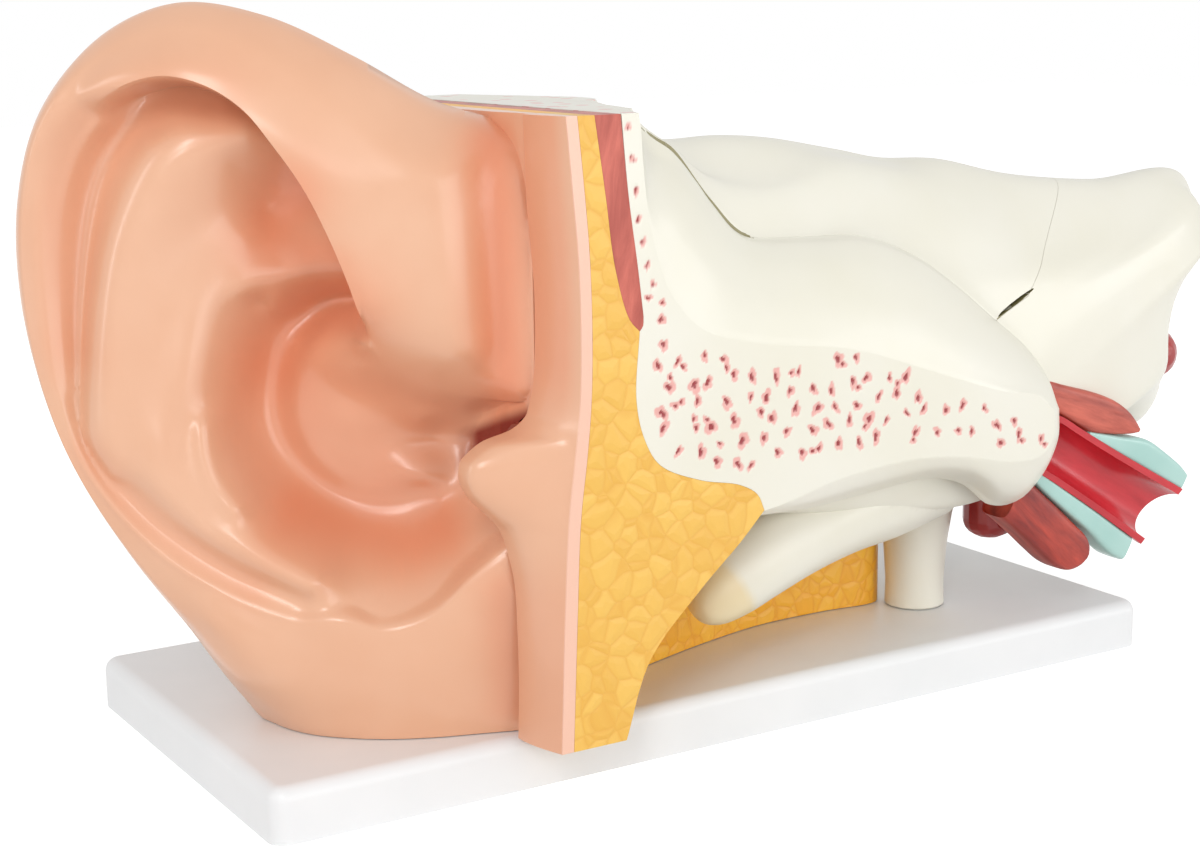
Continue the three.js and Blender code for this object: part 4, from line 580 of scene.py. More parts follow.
def reach_of(outline, angles):
    """How far an outline lies from the auricle's centre in each direction."""
    cu, cv = AURICLE_CENTRE
    a = outline
    b = np.roll(outline, -1, axis=0)
    du, dv = np.cos(angles)[:, None], np.sin(angles)[:, None]
    e = b - a
    cross = du * e[None, :, 1] - dv * e[None, :, 0]
    t = (dv * (a[None, :, 0] - cu) - du * (a[None, :, 1] - cv)) / cross
    far = ((a[:, 0] - cu) * e[:, 1] - (a[:, 1] - cv) * e[:, 0])[None, :] / cross
    far = np.where((t >= -1e-9) & (t <= 1 + 1e-9), far, 0)
    return far.max(1)


def make_pinna(steps=420, outer_rings=26, edge_rings=9, inner_rings=74, back_rings=40):
    """Rings round the auricle's centre: from the rim over the roll into the bowl, and down the back."""
    edge = catmull(HELIX_EDGE, steps, closed=True)
    rim = catmull(AURICLE_RIM, 1200, closed=True)
    angle = np.arctan2(edge[:, 1] - AURICLE_CENTRE[1], edge[:, 0] - AURICLE_CENTRE[0])
    edge_reach = np.linalg.norm(edge - AURICLE_CENTRE, axis=1)
    rim_reach = reach_of(rim, angle)
    ray = np.stack([np.cos(angle), np.sin(angle)], 1)
    rim_uv = AURICLE_CENTRE + rim_reach[:, None] * ray
    rim_w = rim_height(rim_uv)
    soft = HELIX_EDGE_SOFTNESS / 2

    def ring(reach, height):
        uv = AURICLE_CENTRE + reach[:, None] * ray
        rise = np.clip((rim_reach - reach) / (RIM_ROUNDING * (rim_reach - edge_reach)), 0, 1)
        share = np.sqrt(1 - (1 - rise) ** 2)
        return from_face(uv, rim_w + (height(uv) - rim_w) * share)

    def front(offset):
        share = smooth_step(-soft, soft, offset)
        return lambda uv: inner_height(uv) * (1 - share) + outer_height(uv) * share

    rings = []
    for k in range(outer_rings):
        offset = soft + (1 - k / outer_rings) ** 0.8 * (rim_reach - edge_reach - soft)
        rings.append(ring(edge_reach + offset, front(offset)))
    for offset in np.linspace(soft, -soft, edge_rings):
        rings.append(ring(edge_reach + offset, front(np.full(steps, offset))))
    for k in range(1, inner_rings + 1):
        share = 1 - k / (inner_rings + 1)
        rings.append(ring(share * (edge_reach - soft) + 1 - share, inner_height))
    front_count = len(rings)
    for k in range(1, back_rings + 1):
        inward = (k / (back_rings + 1)) ** (1 if k > 6 else 1.4)
        rings.append(ring((1 - inward) * rim_reach, back_height))
    faces = []

    def join(first, second, flip):
        for i in range(steps):
            j = (i + 1) % steps
            quad = (first + i, first + j, second + j, second + i)
            faces.append(quad[::-1] if flip else quad)

    for r in range(front_count - 1):
        join(r * steps, (r + 1) * steps, False)
    faces.append(tuple(range((front_count - 1) * steps, front_count * steps)))
    join(0, front_count * steps, True)
    for r in range(back_rings - 1):
        join((front_count + r) * steps, (front_count + r + 1) * steps, True)
    faces.append(tuple(range((front_count + back_rings - 1) * steps, (front_count + back_rings) * steps)))
    return face_out(mesh_object("auricle_skin", np.vstack(rings), faces))


def primitive(name, size, middle):
    """Gives the primitive just added a name, a size and a place, in millimetres."""
    obj = bpy.context.active_object
    obj.name = name
    obj.data.transform(Matrix.Diagonal((*(np.array(size) / 1000), 1)))
    obj.data.transform(Matrix.Translation(Vector(middle) / 1000))
    return obj


def box_object(name, low, high):
    deselect()
    bpy.ops.mesh.primitive_cube_add(size=1)
    return primitive(name, np.subtract(high, low), np.add(high, low) / 2)


def lathe(name, centre, axis, profile, steps=48):
    """A closed round solid from (along, radius) pairs about an axis."""
    axis = Vector(axis).normalized()
    across = axis.orthogonal().normalized()
    up = axis.cross(across)
    rings = []
    for along, radius in profile:
        rings.append([Vector(centre) + axis * along + radius * (across * math.cos(2 * math.pi * k / steps)
                      + up * math.sin(2 * math.pi * k / steps)) for k in range(steps)])
    return loft(name, rings)


def bar(name, start, end, radius, end_radius=None, steps=48):
    """A round bar between two points, which may taper."""
    end_radius = radius if end_radius is None else end_radius
    axis = Vector(end) - Vector(start)
    return lathe(name, start, axis, [(0, radius), (axis.length, end_radius)], steps)


CANAL_MOUTH_X, CANAL_MOUTH_Z = -80.0, 88.0
DRUM_X, DRUM_Z = -9.0, 97.0


def canal_height(x):
    return DRUM_Z - (DRUM_Z - CANAL_MOUTH_Z) * ((DRUM_X - x) / (DRUM_X - CANAL_MOUTH_X)) ** 2


def canal_bore(radius=11.6, start=CANAL_MOUTH_X):
    """The room of the ear canal, an arch from the concha to the eardrum."""
    rings = []
    for x in np.linspace(start, -7, 20):
        angle = np.linspace(0, 2 * math.pi, 64, endpoint=False)
        lift = radius * np.cos(angle)
        rings.append(np.c_[x - 0.1 * lift, SEAM_Y - GAP / 2 + radius * np.sin(angle), canal_height(x) + lift])
    return loft("canal", rings)


# Lines along which the skin is painted darker, as tint with painted shade in the hollows and as painted shadow along
# the seam: width, strength, then points as u and v
DARK_LINES = [
    (9, 0.30, [(-108, 184), (-119, 184), (-131, 181), (-141, 171), (-146.5, 158), (-148.5, 142), (-149, 122)]),
    (10, 0.75, [(-90, 160), (-96, 153), (-97, 147)]),
    (5, 0.35, [(-79, 143), (-88, 143.5)]),
    (12, 0.7, [(-78, 131), (-88, 127), (-95, 121), (-99, 113)]),
    (9, 0.3, [(-100, 111), (-102.5, 100), (-101, 89), (-98, 79)]),
    (8, 0.75, [(-94, 74), (-84, 70), (-74, 67), (-64, 65), (-56, 68)]),
    (17, 0.38, [(-88, 108), (-78, 104), (-68, 97), (-60, 86)]),
    (10, 0.35, [(-92, 92), (-84, 84), (-72, 80)]),
    (8, 0.85, [(-39, 172), (-38, 150), (-38, 128), (-37, 106)]),
    (5, 0.25, [(-146, 94), (-134, 78), (-119, 67), (-104, 58)]),
    (6, 0.4, [(-39, 56), (-38, 40), (-38, 22)]),
]


def paint_face(obj):
    """Marks the hollows of the auricle's front, which are painted darker: partly the skin's own tint, partly painted
    shade.
    """
    place, normal = points_of(obj), points_of(obj, "normal", 1)
    c, s = math.cos(FACE_YAW), math.sin(FACE_YAW)
    uv = np.stack([c * place[:, 0] - s * place[:, 1], place[:, 2]], 1)
    depth, facing = (-s * value[:, 0] - c * value[:, 1] for value in (place, normal))
    front = smooth_step(48, 60, depth) * smooth_step(-0.45, 0.0, facing)
    light = np.ones(len(place))
    for width, strength, line in DARK_LINES:
        light *= 1 - strength * np.exp(-((distance_to_line(uv, catmull(line, 12)) / width) ** 2))
    mark(obj, "tint_and_painted_shade", (1 - light) * front)


pinna = make_pinna()
skin_inner = SKIN_INNER_X - HAIRLINE
cut(pinna, box_object("keep", (-300, SEAM_Y + GAP, FOOT_Z), (skin_inner, BACK_Y, 260)), "INTERSECT")
cut(pinna, box_object("above", (HEAD_SKIN_X - 6, SEAM_Y - 1, CUT_TOP_Z), (0, BACK_Y + 1, 260)))
HEAD_PLAN = [(HEAD_SKIN_X, BACK_Y), (HEAD_SKIN_X, -52), (-74.2, -56), (-73.4, -60), (-73.0, -63.5),
             (-72.6, -65.0), (-72.1, SEAM_Y + GAP), (skin_inner, SEAM_Y + GAP), (skin_inner, BACK_Y)]
head = loft("head", [[(x, y, z) for x, y in HEAD_PLAN] for z in (FOOT_Z, CUT_TOP_Z)])
cut(pinna, head, "UNION")
cut(pinna, canal_bore(start=-81.0))
smooth_by_angle(pinna, 50)
paint_face(pinna)
finish_piece(pinna, skin, "model_stand", "skin_paint", "auricle")
print("auricle", len(pinna.data.polygons), "faces")

# %% [markdown]
# ## Temporal bone
# One loft through nine measured cross sections gives the whole bone. The front section, the fixed rear bone
# and the keystone cover are cut out of it, so that their faces meet along the same seams as on the model.

# %% Whole bone
OVER_TOP = CUT_TOP_Z + 8
SECTIONS = [
    (FRONT_Y, [(-54, OVER_TOP), (-51, 178), (-50.2, 168), (-48, 150), (-42.8, 134), (-32.9, 123), (-13.7, 117),
               (16.5, 112.5), (52.5, 101), (71.5, 95), (86, 92), (92.3, 87)],
     [(92.6, 79), (88, 74), (77, 73.5), (60, 77), (40, 79), (14, 77), (-12.3, 71.5), (-40, 72)]),
    (SEAM_Y, [(-46, OVER_TOP), (-40, 176), (-35, 172), (-29.1, 168.5), (-17, 154), (-6.5, 144.5), (13.1, 142.2),
              (34.2, 141), (52.5, 134.8), (69, 124.8), (84, 113.5), (96, 104), (103, 95), (105.3, 85)],
     [(105, 74), (102, 62.5), (95, 55.8), (85, 56.2), (74, 64), (60, 67.6), (38, 66.5), (15, 65), (-10, 67),
      (-40, 70)]),
    (-58, [(-43, OVER_TOP), (-37.5, 175.5), (-28.5, 169.5), (-12, 160), (5, 156), (30, 156.5), (55, 151), (80, 142),
           (108, 129), (140, 127), (165, 129), (173, 118)],
     [(162, 106), (158, 92), (156, 80), (140, 75), (122, 79), (106, 76), (90, 57), (-40, 70)]),
    (-44, [(-40, OVER_TOP), (-34, 176.3), (-21.5, 169.6), (0, 168.5), (22, 166.3), (45, 162), (62, 159), (82, 157.5),
           (112, 150.5), (145, 147), (184, 147), (194, 130)],
     [(186.5, 118), (177, 107), (175.5, 94), (178, 78), (169, 68), (142, 70), (100, 56), (-40, 68)]),
    (-28, [(-34, OVER_TOP), (-28, 176), (-13, 168.6), (10, 167.5), (28, 165.5), (50, 162), (64, 158.5),
           (84, 156.5), (114, 150), (150, 144.5), (194, 144), (206, 128)],
     [(196.5, 114), (187, 103), (185, 92), (187.5, 78), (177, 66), (140, 60), (100, 46), (-40, 68)]),
    (-10, [(-26, OVER_TOP), (-19, 178), (-6, 168), (15, 162), (40, 156), (62, 150), (82, 146), (106, 140),
           (132, 133), (156, 129), (182, 126), (193, 110)],
     [(185, 94), (174, 80), (150, 70), (125, 64), (100, 58), (80, 55), (40, 56), (-40, 68)]),
    (8, [(-28, OVER_TOP), (-22, 176), (-14, 160), (8, 146), (36, 136), (60, 128), (80, 122), (98, 117),
         (114, 112), (128, 107), (140, 102), (148, 95)],
     [(140, 85), (124, 77), (108, 72), (90, 69), (70, 66), (45, 65), (10, 64), (-40, 68)]),
    (24, [(-33, OVER_TOP), (-29, 174), (-26, 156), (-16, 138), (-2, 127), (12, 120), (24, 114), (34, 109),
          (42, 105), (49, 101), (54, 97), (57, 91)],
     [(52, 84), (44, 79), (34, 75), (22, 72), (8, 70), (-8, 69), (-24, 69), (-45, 70)]),
    (BACK_Y, [(-38, OVER_TOP), (-36, 172), (-34, 154), (-30, 138), (-26, 126), (-22, 117), (-18, 110),
              (-15, 105), (-13, 101), (-12, 97), (-12, 93), (-13, 89)],
     [(-16, 85), (-20, 82), (-25, 79), (-31, 77), (-37, 75), (-43, 74), (-49, 73), (-56, 72)]),
]
PLATE_X = -78.0
UPPER_STEPS = 150
LOWER_STEPS = 100


def section_ring(upper, lower):
    top = catmull([(PLATE_X, OVER_TOP)] + upper, UPPER_STEPS)
    plate_z = lower[-1][1] if lower[-1][1] > 70 else 72
    bottom = catmull([upper[-1]] + lower + [(PLATE_X, plate_z)], LOWER_STEPS)
    return np.vstack([top, bottom[1:]])


# How much of the way from the front section to the seam section is done at each share of the distance.
BULGE = ((0.06, 0.17), (0.16, 0.38), (0.3, 0.57), (0.45, 0.72), (0.62, 0.84), (0.8, 0.94))


def whole_bone():
    """A smooth loft through the sections, which bulges behind the cut face except near its top."""
    rings = [section_ring(upper, lower) for _, upper, lower in SECTIONS]
    places = [y for y, _, _ in SECTIONS]
    known = [(FRONT_Y - 3, rings[0]), (FRONT_Y, rings[0])]
    flat = (smooth_step(142, 164, rings[0][:, 1]) * (rings[0][:, 0] < 0))[:, None]
    for along, bulge in BULGE:
        share = bulge + flat * (0.9 * along - bulge)
        known.append((FRONT_Y + along * (SEAM_Y - FRONT_Y), rings[0] + share * (rings[1] - rings[0])))
    known += list(zip(places[1:], rings[1:]))
    ys = np.array([y for y, _ in known])
    stack = np.stack([ring for _, ring in known])
    slopes = np.gradient(stack, ys, axis=0)
    wanted = np.unique(np.r_[np.arange(FRONT_Y - 3, -56, 0.9), np.arange(-56, BACK_Y, 1.6), SEAM_Y, BACK_Y])
    out = []
    for y in wanted:
        i = min(max(np.searchsorted(ys, y, side="right") - 1, 0), len(ys) - 2)
        h = ys[i + 1] - ys[i]
        t = (y - ys[i]) / h
        ring = ((1 + 2 * t) * (1 - t) ** 2) * stack[i] + t * (1 - t) ** 2 * h * slopes[i]
        ring = ring + t * t * (3 - 2 * t) * stack[i + 1] + t * t * (t - 1) * h * slopes[i + 1]
        out.append(np.c_[ring[:, 0], np.full(len(ring), y), ring[:, 1]])
    return loft("whole_bone", out)


# %% Edge lines of the tissues on the cut face
MUSCLE_TIP = (-51.6, 124.2)
BONE_FOOT = (-12.3, 71.6)
MUSCLE_INNER_EDGE = [(-54.5, 159), (-52, 141), (-50.4, 128)]
COVER_OUTLINE = [(-22, 112), (-35.5, 200), (179, 200), (101, 117.5), (86, 112)]

muscle_outside = catmull([(-64.2, CUT_TOP_Z), (-61.2, 159), (-58.7, 141), (-54.6, 127.5), MUSCLE_TIP], 40)
muscle_inside = catmull(MUSCLE_INNER_EDGE[::-1] + [(-56.6, CUT_TOP_Z)], 36)
tip_down = catmull([MUSCLE_INNER_EDGE[-1], (-50.6, 125.4), MUSCLE_TIP], 6)
bone_lower = catmull([MUSCLE_TIP, (-52.8, 106.4), (-50.5, 96), (-45.7, 88.4), (-33.1, 82.7), (-20.2, 79.6),
                      (-14.5, 76.2), BONE_FOOT], 60)
fat_slope = catmull([BONE_FOOT, (-20, 64), (-33.3, 52.6), (-49.3, 36), (-57, FOOT_Z)], 40)
bone_line = np.vstack([catmull([(-56.6, 182)] + MUSCLE_INNER_EDGE, 30), tip_down[1:-1], bone_lower])


def bone_side(by):
    """The side of the tissue line on which the bone lies, moved off the line by a distance."""
    line = moved(bone_line, by)
    return np.vstack([line, [(BONE_FOOT[0] + by, -40), (260, -40), (260, 260), (line[0][0], 260)]])


def grid_box(name, low, high, xs, zs):
    """A box with a grid on its front face, which a boolean hands on to the face that it cuts."""
    nx, nz = len(xs), len(zs)
    points = [(x, low[1], z) for z in zs for x in xs]
    faces = [(a, a + 1, a + nx + 1, a + nx) for j in range(nz - 1) for a in range(j * nx, j * nx + nx - 1)]
    rim = list(range(nx)) + [j * nx + nx - 1 for j in range(1, nz)]
    rim += [(nz - 1) * nx + i for i in range(nx - 2, -1, -1)] + [j * nx for j in range(nz - 2, 0, -1)]
    first, count = len(points), len(rim)
    points += [(points[i][0], high[1], points[i][2]) for i in rim]
    for k in range(count):
        m = (k + 1) % count
        faces.append((rim[k], first + k, first + m, rim[m]))
    faces.append(tuple(range(first, first + count)))
    return face_out(mesh_object(name, points, faces))


# %% Cavities of the middle ear
def ellipsoid(name, centre, radii, steps=64):
    deselect()
    bpy.ops.mesh.primitive_uv_sphere_add(segments=steps, ring_count=steps // 2, radius=1)
    return primitive(name, radii, centre)


def joined(first, *others):
    for other in others:
        cut(first, other, "UNION")
    return first


TYMPANUM = (12, SEAM_Y, 103)


def tympanum():
    """The cavity behind the eardrum, deeper behind the seam than before it."""
    front = ellipsoid("front", TYMPANUM, (17, 14, 20))
    cut(front, box_object("half", (-200, -200, 0), (200, SEAM_Y + 0.01, 250)), "INTERSECT")
    back = ellipsoid("back", TYMPANUM, (17, 23, 20))
    cut(back, box_object("half", (-200, SEAM_Y, 0), (200, 200, 250)), "INTERSECT")
    return joined(front, back)


def drum_groove():
    return bar("groove", (DRUM_X, SEAM_Y, 97.5), (-2.8, SEAM_Y, 97.5), 14.3, steps=64)


# Dowels by their two ends. The bone is thin around the third of the front section, so its front end is
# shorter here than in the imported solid.
SLAB_DOWELS = [((x, SEAM_Y - reach, z), (x, SEAM_Y + 7.5, z))
               for x, z, reach in ((-62.5, 40, 7.5), (-37, 119, 7.5), (50, 71, 5))]
COVER_DOWELS = [((x, y, 104), (x, y, 120)) for x, y in ((2, -26), (60, -3))]
DOWEL_RADIUS = 2


def dowel_room(dowels, spare=0.3):
    """The holes for dowels, longer and wider than these by a clearance."""
    holes = []
    for start, end in dowels:
        more = (Vector(end) - Vector(start)).normalized() * spare
        holes.append(bar("hole", Vector(start) - more, Vector(end) + more, DOWEL_RADIUS + spare, steps=24))
    return joined(*holes)


TUBE_START = (105.5, SEAM_Y, 73.5)
TUBE_INNER_END = (22, SEAM_Y, 94)
TUBE_TURN = math.radians(-31.3)
INNER_TURN = math.atan2(TUBE_START[2] - TUBE_INNER_END[2], TUBE_START[0] - TUBE_INNER_END[0])


def on_tube(along, up, back):
    """A place by its distance along the auditory tube from the bone's mouth, its height and its depth."""
    turn = np.where(np.asarray(along) < 0, INNER_TURN, TUBE_TURN)
    x = TUBE_START[0] + along * np.cos(turn) - up * np.sin(turn)
    z = TUBE_START[2] + along * np.sin(turn) + up * np.cos(turn)
    return np.stack(np.broadcast_arrays(x, TUBE_START[1] + back, z), -1)


def tube_bore():
    return bar("tube_bore", TUBE_INNER_END, TUBE_START, 5.2)


def tube_funnel():
    return joined(tube_bore(), bar("funnel", on_tube(-9, 0, 0), on_tube(9, 0, 0), 5.2, 13.5))


def bevel_edges(obj, chosen, offset, segments):
    """Rounds the edges that a test picks, by a radius in millimetres."""
    mesh = bmesh.new()
    mesh.from_mesh(obj.data)
    edges = [edge for edge in mesh.edges if chosen(*(vertex.co.z * 1000 for vertex in edge.verts))]
    bmesh.ops.bevel(mesh, geom=edges, offset=offset / 1000, segments=segments, affect="EDGES", profile=0.5)
    mesh.to_mesh(obj.data)
    mesh.free()
    return obj


def rounded_block(name, low, high, radius):
    return bevel_edges(box_object(name, low, high), lambda z1, z2: abs(z1 - z2) > 0.1, radius, 8)


# Open joints between castings: the two ends, the width, the depth and a direction across the joint.
CRACK = ((-39, SEAM_Y - 0.3, 179.7), (-2.5, SEAM_Y - 0.3, 138.2), 1.5, 6, (0, 1, 0))
NOTCH = ((86, -62, 112.5), (104, -62, 119.5), 1.3, 8, (-0.3, 0, 0.95))


def blade_frame(start, end, thick, deep, across):
    """The turn, the middle and the three radii of the lens that opens a joint."""
    along = Vector(np.subtract(end, start)).normalized()
    side = (Vector(across) - along * along.dot(Vector(across))).normalized()
    radii = (np.linalg.norm(np.subtract(end, start)) / 2, thick / 2, deep)
    return Matrix((along, side, along.cross(side))), (Vector(start) + Vector(end)) / 2000, radii


def blade(joint):
    """A lens that opens a joint between two castings."""
    turn, middle, radii = blade_frame(*joint)
    obj = ellipsoid("blade", (0, 0, 0), radii)
    obj.data.transform(turn.transposed().to_4x4())
    obj.data.transform(Matrix.Translation(middle))
    return obj


def paint_joint_shade(obj):
    """Marks the faces inside an open joint, which get painted shade, a dark olive."""
    centres = np.array([polygon.center for polygon in obj.data.polygons])
    shaded = np.zeros(len(centres))
    for joint in (CRACK, NOTCH):
        turn, middle, radii = blade_frame(*joint)
        size = np.linalg.norm((centres - np.array(middle)) @ np.array(turn).T * 1000 / radii, axis=1)
        shaded[(size > 0.93) & (size < 1.02)] = 1
    mark(obj, "joint", shaded, "FACE")


def lobe():
    """The lobe that hangs from the petrous bone, from its root to its blunt tip."""
    # A place, half the height, half the depth, and a last number that only spaces the rings.
    stations = [(78, -38, 62, 17, 20, 10), (60, -41, 59, 17, 19, 10), (40, -46, 56.5, 15.5, 16.5, 10),
                (22, -50, 52.5, 14.5, 13.5, 10), (7, -53, 47.5, 13.5, 11.2, 9), (-4, -55, 42.8, 12, 9.2, 8),
                (-11, -56, 39.3, 9.4, 7.2, 8), (-15.2, -56.4, 37.2, 5.6, 4.6, 6), (-16.6, -56.5, 36.5, 1.2, 1.2, 4)]
    fine = catmull(stations, 70)
    rings = []
    for i, row in enumerate(fine):
        before = fine[max(0, i - 1)][:3]
        after = fine[min(len(fine) - 1, i + 1)][:3]
        along = (after - before) / np.linalg.norm(after - before)
        back = np.array([0, 1, 0]) - along[1] * along
        back /= np.linalg.norm(back)
        up = np.cross(back, along)
        angle = np.linspace(0, 2 * math.pi, 72, endpoint=False)[:, None]
        rings.append(row[:3] + up * (row[3] * 0.92) * np.cos(angle) + back * row[4] * np.sin(angle))
    return loft("lobe", rings)


# %% Front bone
bone_all = whole_bone()
front_bone = copy_of(bone_all, "front_bone_fine")
fine_x = np.r_[np.arange(-60, 94, 0.4), np.arange(94, 141, 4)]
fine_z = np.r_[np.arange(50, 72, 4), np.arange(72, 134, 0.4), np.arange(134, 138, 0.9),
               np.arange(138, CUT_TOP_Z - 0.5, 0.9), CUT_TOP_Z]
front_box = grid_box("front_box", (-60, FRONT_Y, 50), (140, SEAM_Y - GAP, CUT_TOP_Z), fine_x, fine_z)
cut(front_bone, front_box, "INTERSECT")
cut(front_bone, prism_y("side", bone_side(HAIRLINE / 2), FRONT_Y - 5, SEAM_Y + 5), "INTERSECT")
cut_all(front_bone, canal_bore(), tympanum(), drum_groove(), tube_bore(), dowel_room(SLAB_DOWELS), blade(CRACK))
print("front bone", len(front_bone.data.polygons), "faces")

# %% Rear bone and its keystone cover
def rear_half(obj):
    """Keeps what lies behind the seam."""
    return cut(obj, box_object("rear_box", (-100, SEAM_Y, FOOT_Z), (300, BACK_Y, CUT_TOP_Z)), "INTERSECT")


rear_bone = rear_half(copy_of(bone_all, "rear_bone_fine"))
bpy.data.objects.remove(bone_all)
cut(rear_bone, prism_y("side", bone_side(HAIRLINE / 2), SEAM_Y - 5, BACK_Y + 5), "INTERSECT")
cover = copy_of(rear_bone, "cover_fine")
cut(cover, prism_y("keystone", COVER_OUTLINE, SEAM_Y - 10, BACK_Y + 10), "INTERSECT")
cut_all(cover, rounded_block("pocket", (28.5, -58.5, 100), (91.5, -15.5, 131.5), 8), tympanum(),
        dowel_room(COVER_DOWELS), blade(CRACK), blade(NOTCH))


def grown_outline(outline, by):
    """A convex outline made larger on every side."""
    points = np.asarray(outline, float)[::-1]
    result = []
    for i in range(len(points)):
        a, b, c = points[i - 1], points[i], points[(i + 1) % len(points)]
        d1 = (b - a) / np.linalg.norm(b - a)
        d2 = (c - b) / np.linalg.norm(c - b)
        n1, n2 = np.array([d1[1], -d1[0]]), np.array([d2[1], -d2[0]])
        result.append(b + by * (n1 + n2) / (1 + n1 @ n2))
    return result


POST_X, POST_Y = 88, -28
cut(rear_bone, prism_y("keystone", grown_outline(COVER_OUTLINE, 0.16), SEAM_Y - 10, BACK_Y + 10))
joined(rear_bone, rear_half(lobe()))
cut_all(rear_bone, canal_bore(), tympanum(), drum_groove(), tube_funnel(),
        box_object("slot", (18, -55, 100), (31, -41, 113)),
        rounded_block("pocket", (29, -58, 92), (91, -16, 114), 8), dowel_room(COVER_DOWELS),
        dowel_room([((50, -40, 84), (50, -40, 100))]), dowel_room(SLAB_DOWELS),
        bar("spigot", (POST_X, POST_Y, FOOT_Z), (POST_X, POST_Y, 66.3), 5.3, steps=32), blade(CRACK),
        blade(NOTCH), bar("tube_room", TUBE_START, (163.6, SEAM_Y, 38.2), 9.6, 11.7))
print("rear bone", len(rear_bone.data.polygons), "cover", len(cover.data.polygons), "faces")

# %% Marks of spongy bone on the cut face
# Small pink blots, each with a dark core, are scattered over a band of the face.
SPONGY_BAND = [(-47, 129), (-33, 117.5), (-14, 115), (3, 113.5), (20, 111.6), (36, 104.5), (52, 97), (70, 89.5),
               (88, 82.5), (88, 74.5), (79, 74), (57, 81), (35, 86), (14, 83), (-3, 80), (-27, 86.5),
               (-41, 91), (-48, 99), (-49.5, 111), (-49.3, 122)]
SPONGY_STRIP = [(-54.4, 176), (-53.2, 168), (-52.2, 160), (-51.5, 153), (-50.4, 147), (-49, 141), (-47.3, 136),
                (-48.8, 132.6), (-44.6, 131)]


def inside(point, outline):
    """Whether a point lies inside a closed outline."""
    x, z = point
    result = False
    for (x1, z1), (x2, z2) in zip(outline, outline[1:] + outline[:1]):
        if (z1 > z) != (z2 > z) and x < (x2 - x1) * (z - z1) / (z2 - z1) + x1:
            result = not result
    return result


def paint_marks(obj, seed=5):
    """Scatters the marks, keeps their colours for the paint and dents the face under them."""
    rng = np.random.default_rng(seed)
    marks = [(x, z, 1.2, 0.9, rng.uniform(0, math.pi)) for x, z in SPONGY_STRIP]
    for row, z in enumerate(np.arange(74, 132, 5.9)):
        for x in np.arange(-50 + 3.6 * (row % 2), 92, 7.0):
            spot = (x + rng.uniform(-1.7, 1.7), z + rng.uniform(-1.4, 1.4))
            if inside(spot, SPONGY_BAND) and rng.random() < 0.95:
                long = rng.uniform(1.5, 2.3)
                marks.append((*spot, long, long * rng.uniform(0.55, 0.85), rng.uniform(0.9, 2.6)))
                if rng.random() < 0.2:
                    turn = rng.uniform(0, 2 * math.pi)
                    marks.append((spot[0] + 2.2 * math.cos(turn), spot[1] + 2.6 * math.sin(turn), 1.3, 1.0, turn))
    place = points_of(obj)
    face = place[:, 1] < FRONT_Y + NEAR_FACE
    xz = place[face][:, [0, 2]]
    blot, core = np.zeros(len(xz)), np.zeros(len(xz))
    for x, z, long, short, turn in marks:
        d = xz - (x, z)
        near = np.abs(d).max(1) < 6
        a = d[near, 0] * math.cos(turn) + d[near, 1] * math.sin(turn)
        b = -d[near, 0] * math.sin(turn) + d[near, 1] * math.cos(turn)
        angle = np.arctan2(b / short, a / long)
        phase = rng.uniform(0, 2 * math.pi, 3)
        ragged = 1 + 0.13 * np.sin(2 * angle + phase[0]) + 0.15 * np.sin(3 * angle + phase[1])
        ragged += 0.09 * np.sin(5 * angle + phase[2])
        far = np.hypot(a / long, b / short) / ragged
        blot[near] = np.maximum(blot[near], 1 - smooth_step(0.93, 1.07, far))
        shift = rng.uniform(-0.2, 0.2, 2)
        inner = np.hypot((a / long - shift[0]) / 0.48, (b / short - shift[1]) / 0.42) / ragged
        core[near] = np.maximum(core[near], 1 - smooth_step(0.9, 1.1, inner))
    for name, value in (("blot", blot), ("core", core)):
        full = np.zeros(len(place))
        full[face] = value
        mark(obj, name, full)
    place[face, 1] += np.where(blot > 0, 0.10 * blot + 0.35 * core, 0)
    obj.data.vertices.foreach_set("co", (place / 1000).ravel())
    print(len(marks), "marks of spongy bone")


def paint_tip_reflection(obj):
    """Marks the lobe's end, which is painted ochre beyond a slanted line: a painted reflection of the yellow fat on
    its shaded face.
    """
    place = points_of(obj)
    line = place[:, 0] * 0.82 + (place[:, 2] - 40) * 0.57
    mark(obj, "tip", (1 - smooth_step(-3.0, 0.5, line)) * (place[:, 2] < 62) * (place[:, 1] < -40))


paint_marks(front_bone)
paint_tip_reflection(rear_bone)
for obj in (front_bone, rear_bone, cover):
    paint_joint_shade(obj)
    smooth_by_angle(obj, 38)
finish_piece(front_bone, bone, "front_section", "bone_paint", "front_bone")
finish_piece(rear_bone, bone, "model_stand", "bone_paint", "rear_bone")
finish_piece(cover, bone, "upper_cover", "bone_paint", "upper_bone_cover")

# %% [markdown]
# ## Front section
# Skin with the tragus, a layer of fat and a wedge of temporal muscle lie side by side on the cut face.

# %% Front skin
PLAIN_EDGE = [(15, -80.1), (31, -79.5), (47.6, -79.7), (62, -79.9), (80, -79.3), (98, -77.2), (104, -75),
              (112, -73.2), (132, -72.4), (158, -74.2), (180, -74.8)]
TRAGUS_EDGE = [(50, -79.9), (60, -80.6), (64.5, -81.5), (67.4, -82.3), (70.8, -83.4), (74.2, -85.1), (76.4, -87.1),
               (79.2, -89.9), (82.2, -92.8), (84.6, -94.5), (87.6, -95.7), (89.8, -95.9), (92.5, -95.2),
               (94.8, -92.5), (96.9, -88.8), (97.9, -84.6), (98.7, -81), (100.5, -77.5), (103.2, -75),
               (106.2, -74), (111, -73.2)]
CUT_EDGE = [(15, -76.7), (51.5, -75.0), (77.7, -73.2), (94, -71), (108, -69.4), (125, -68.9), (144, -69.3),
            (160, -70.6), (180, -72.4)]
FAT_LINE = [(15, -73.2), (51, -71.4), (77, -69.9), (94, -67.6), (108, -66.2), (125, -65.7), (144, -66.1),
            (160, -67.3), (180, -69.2)]


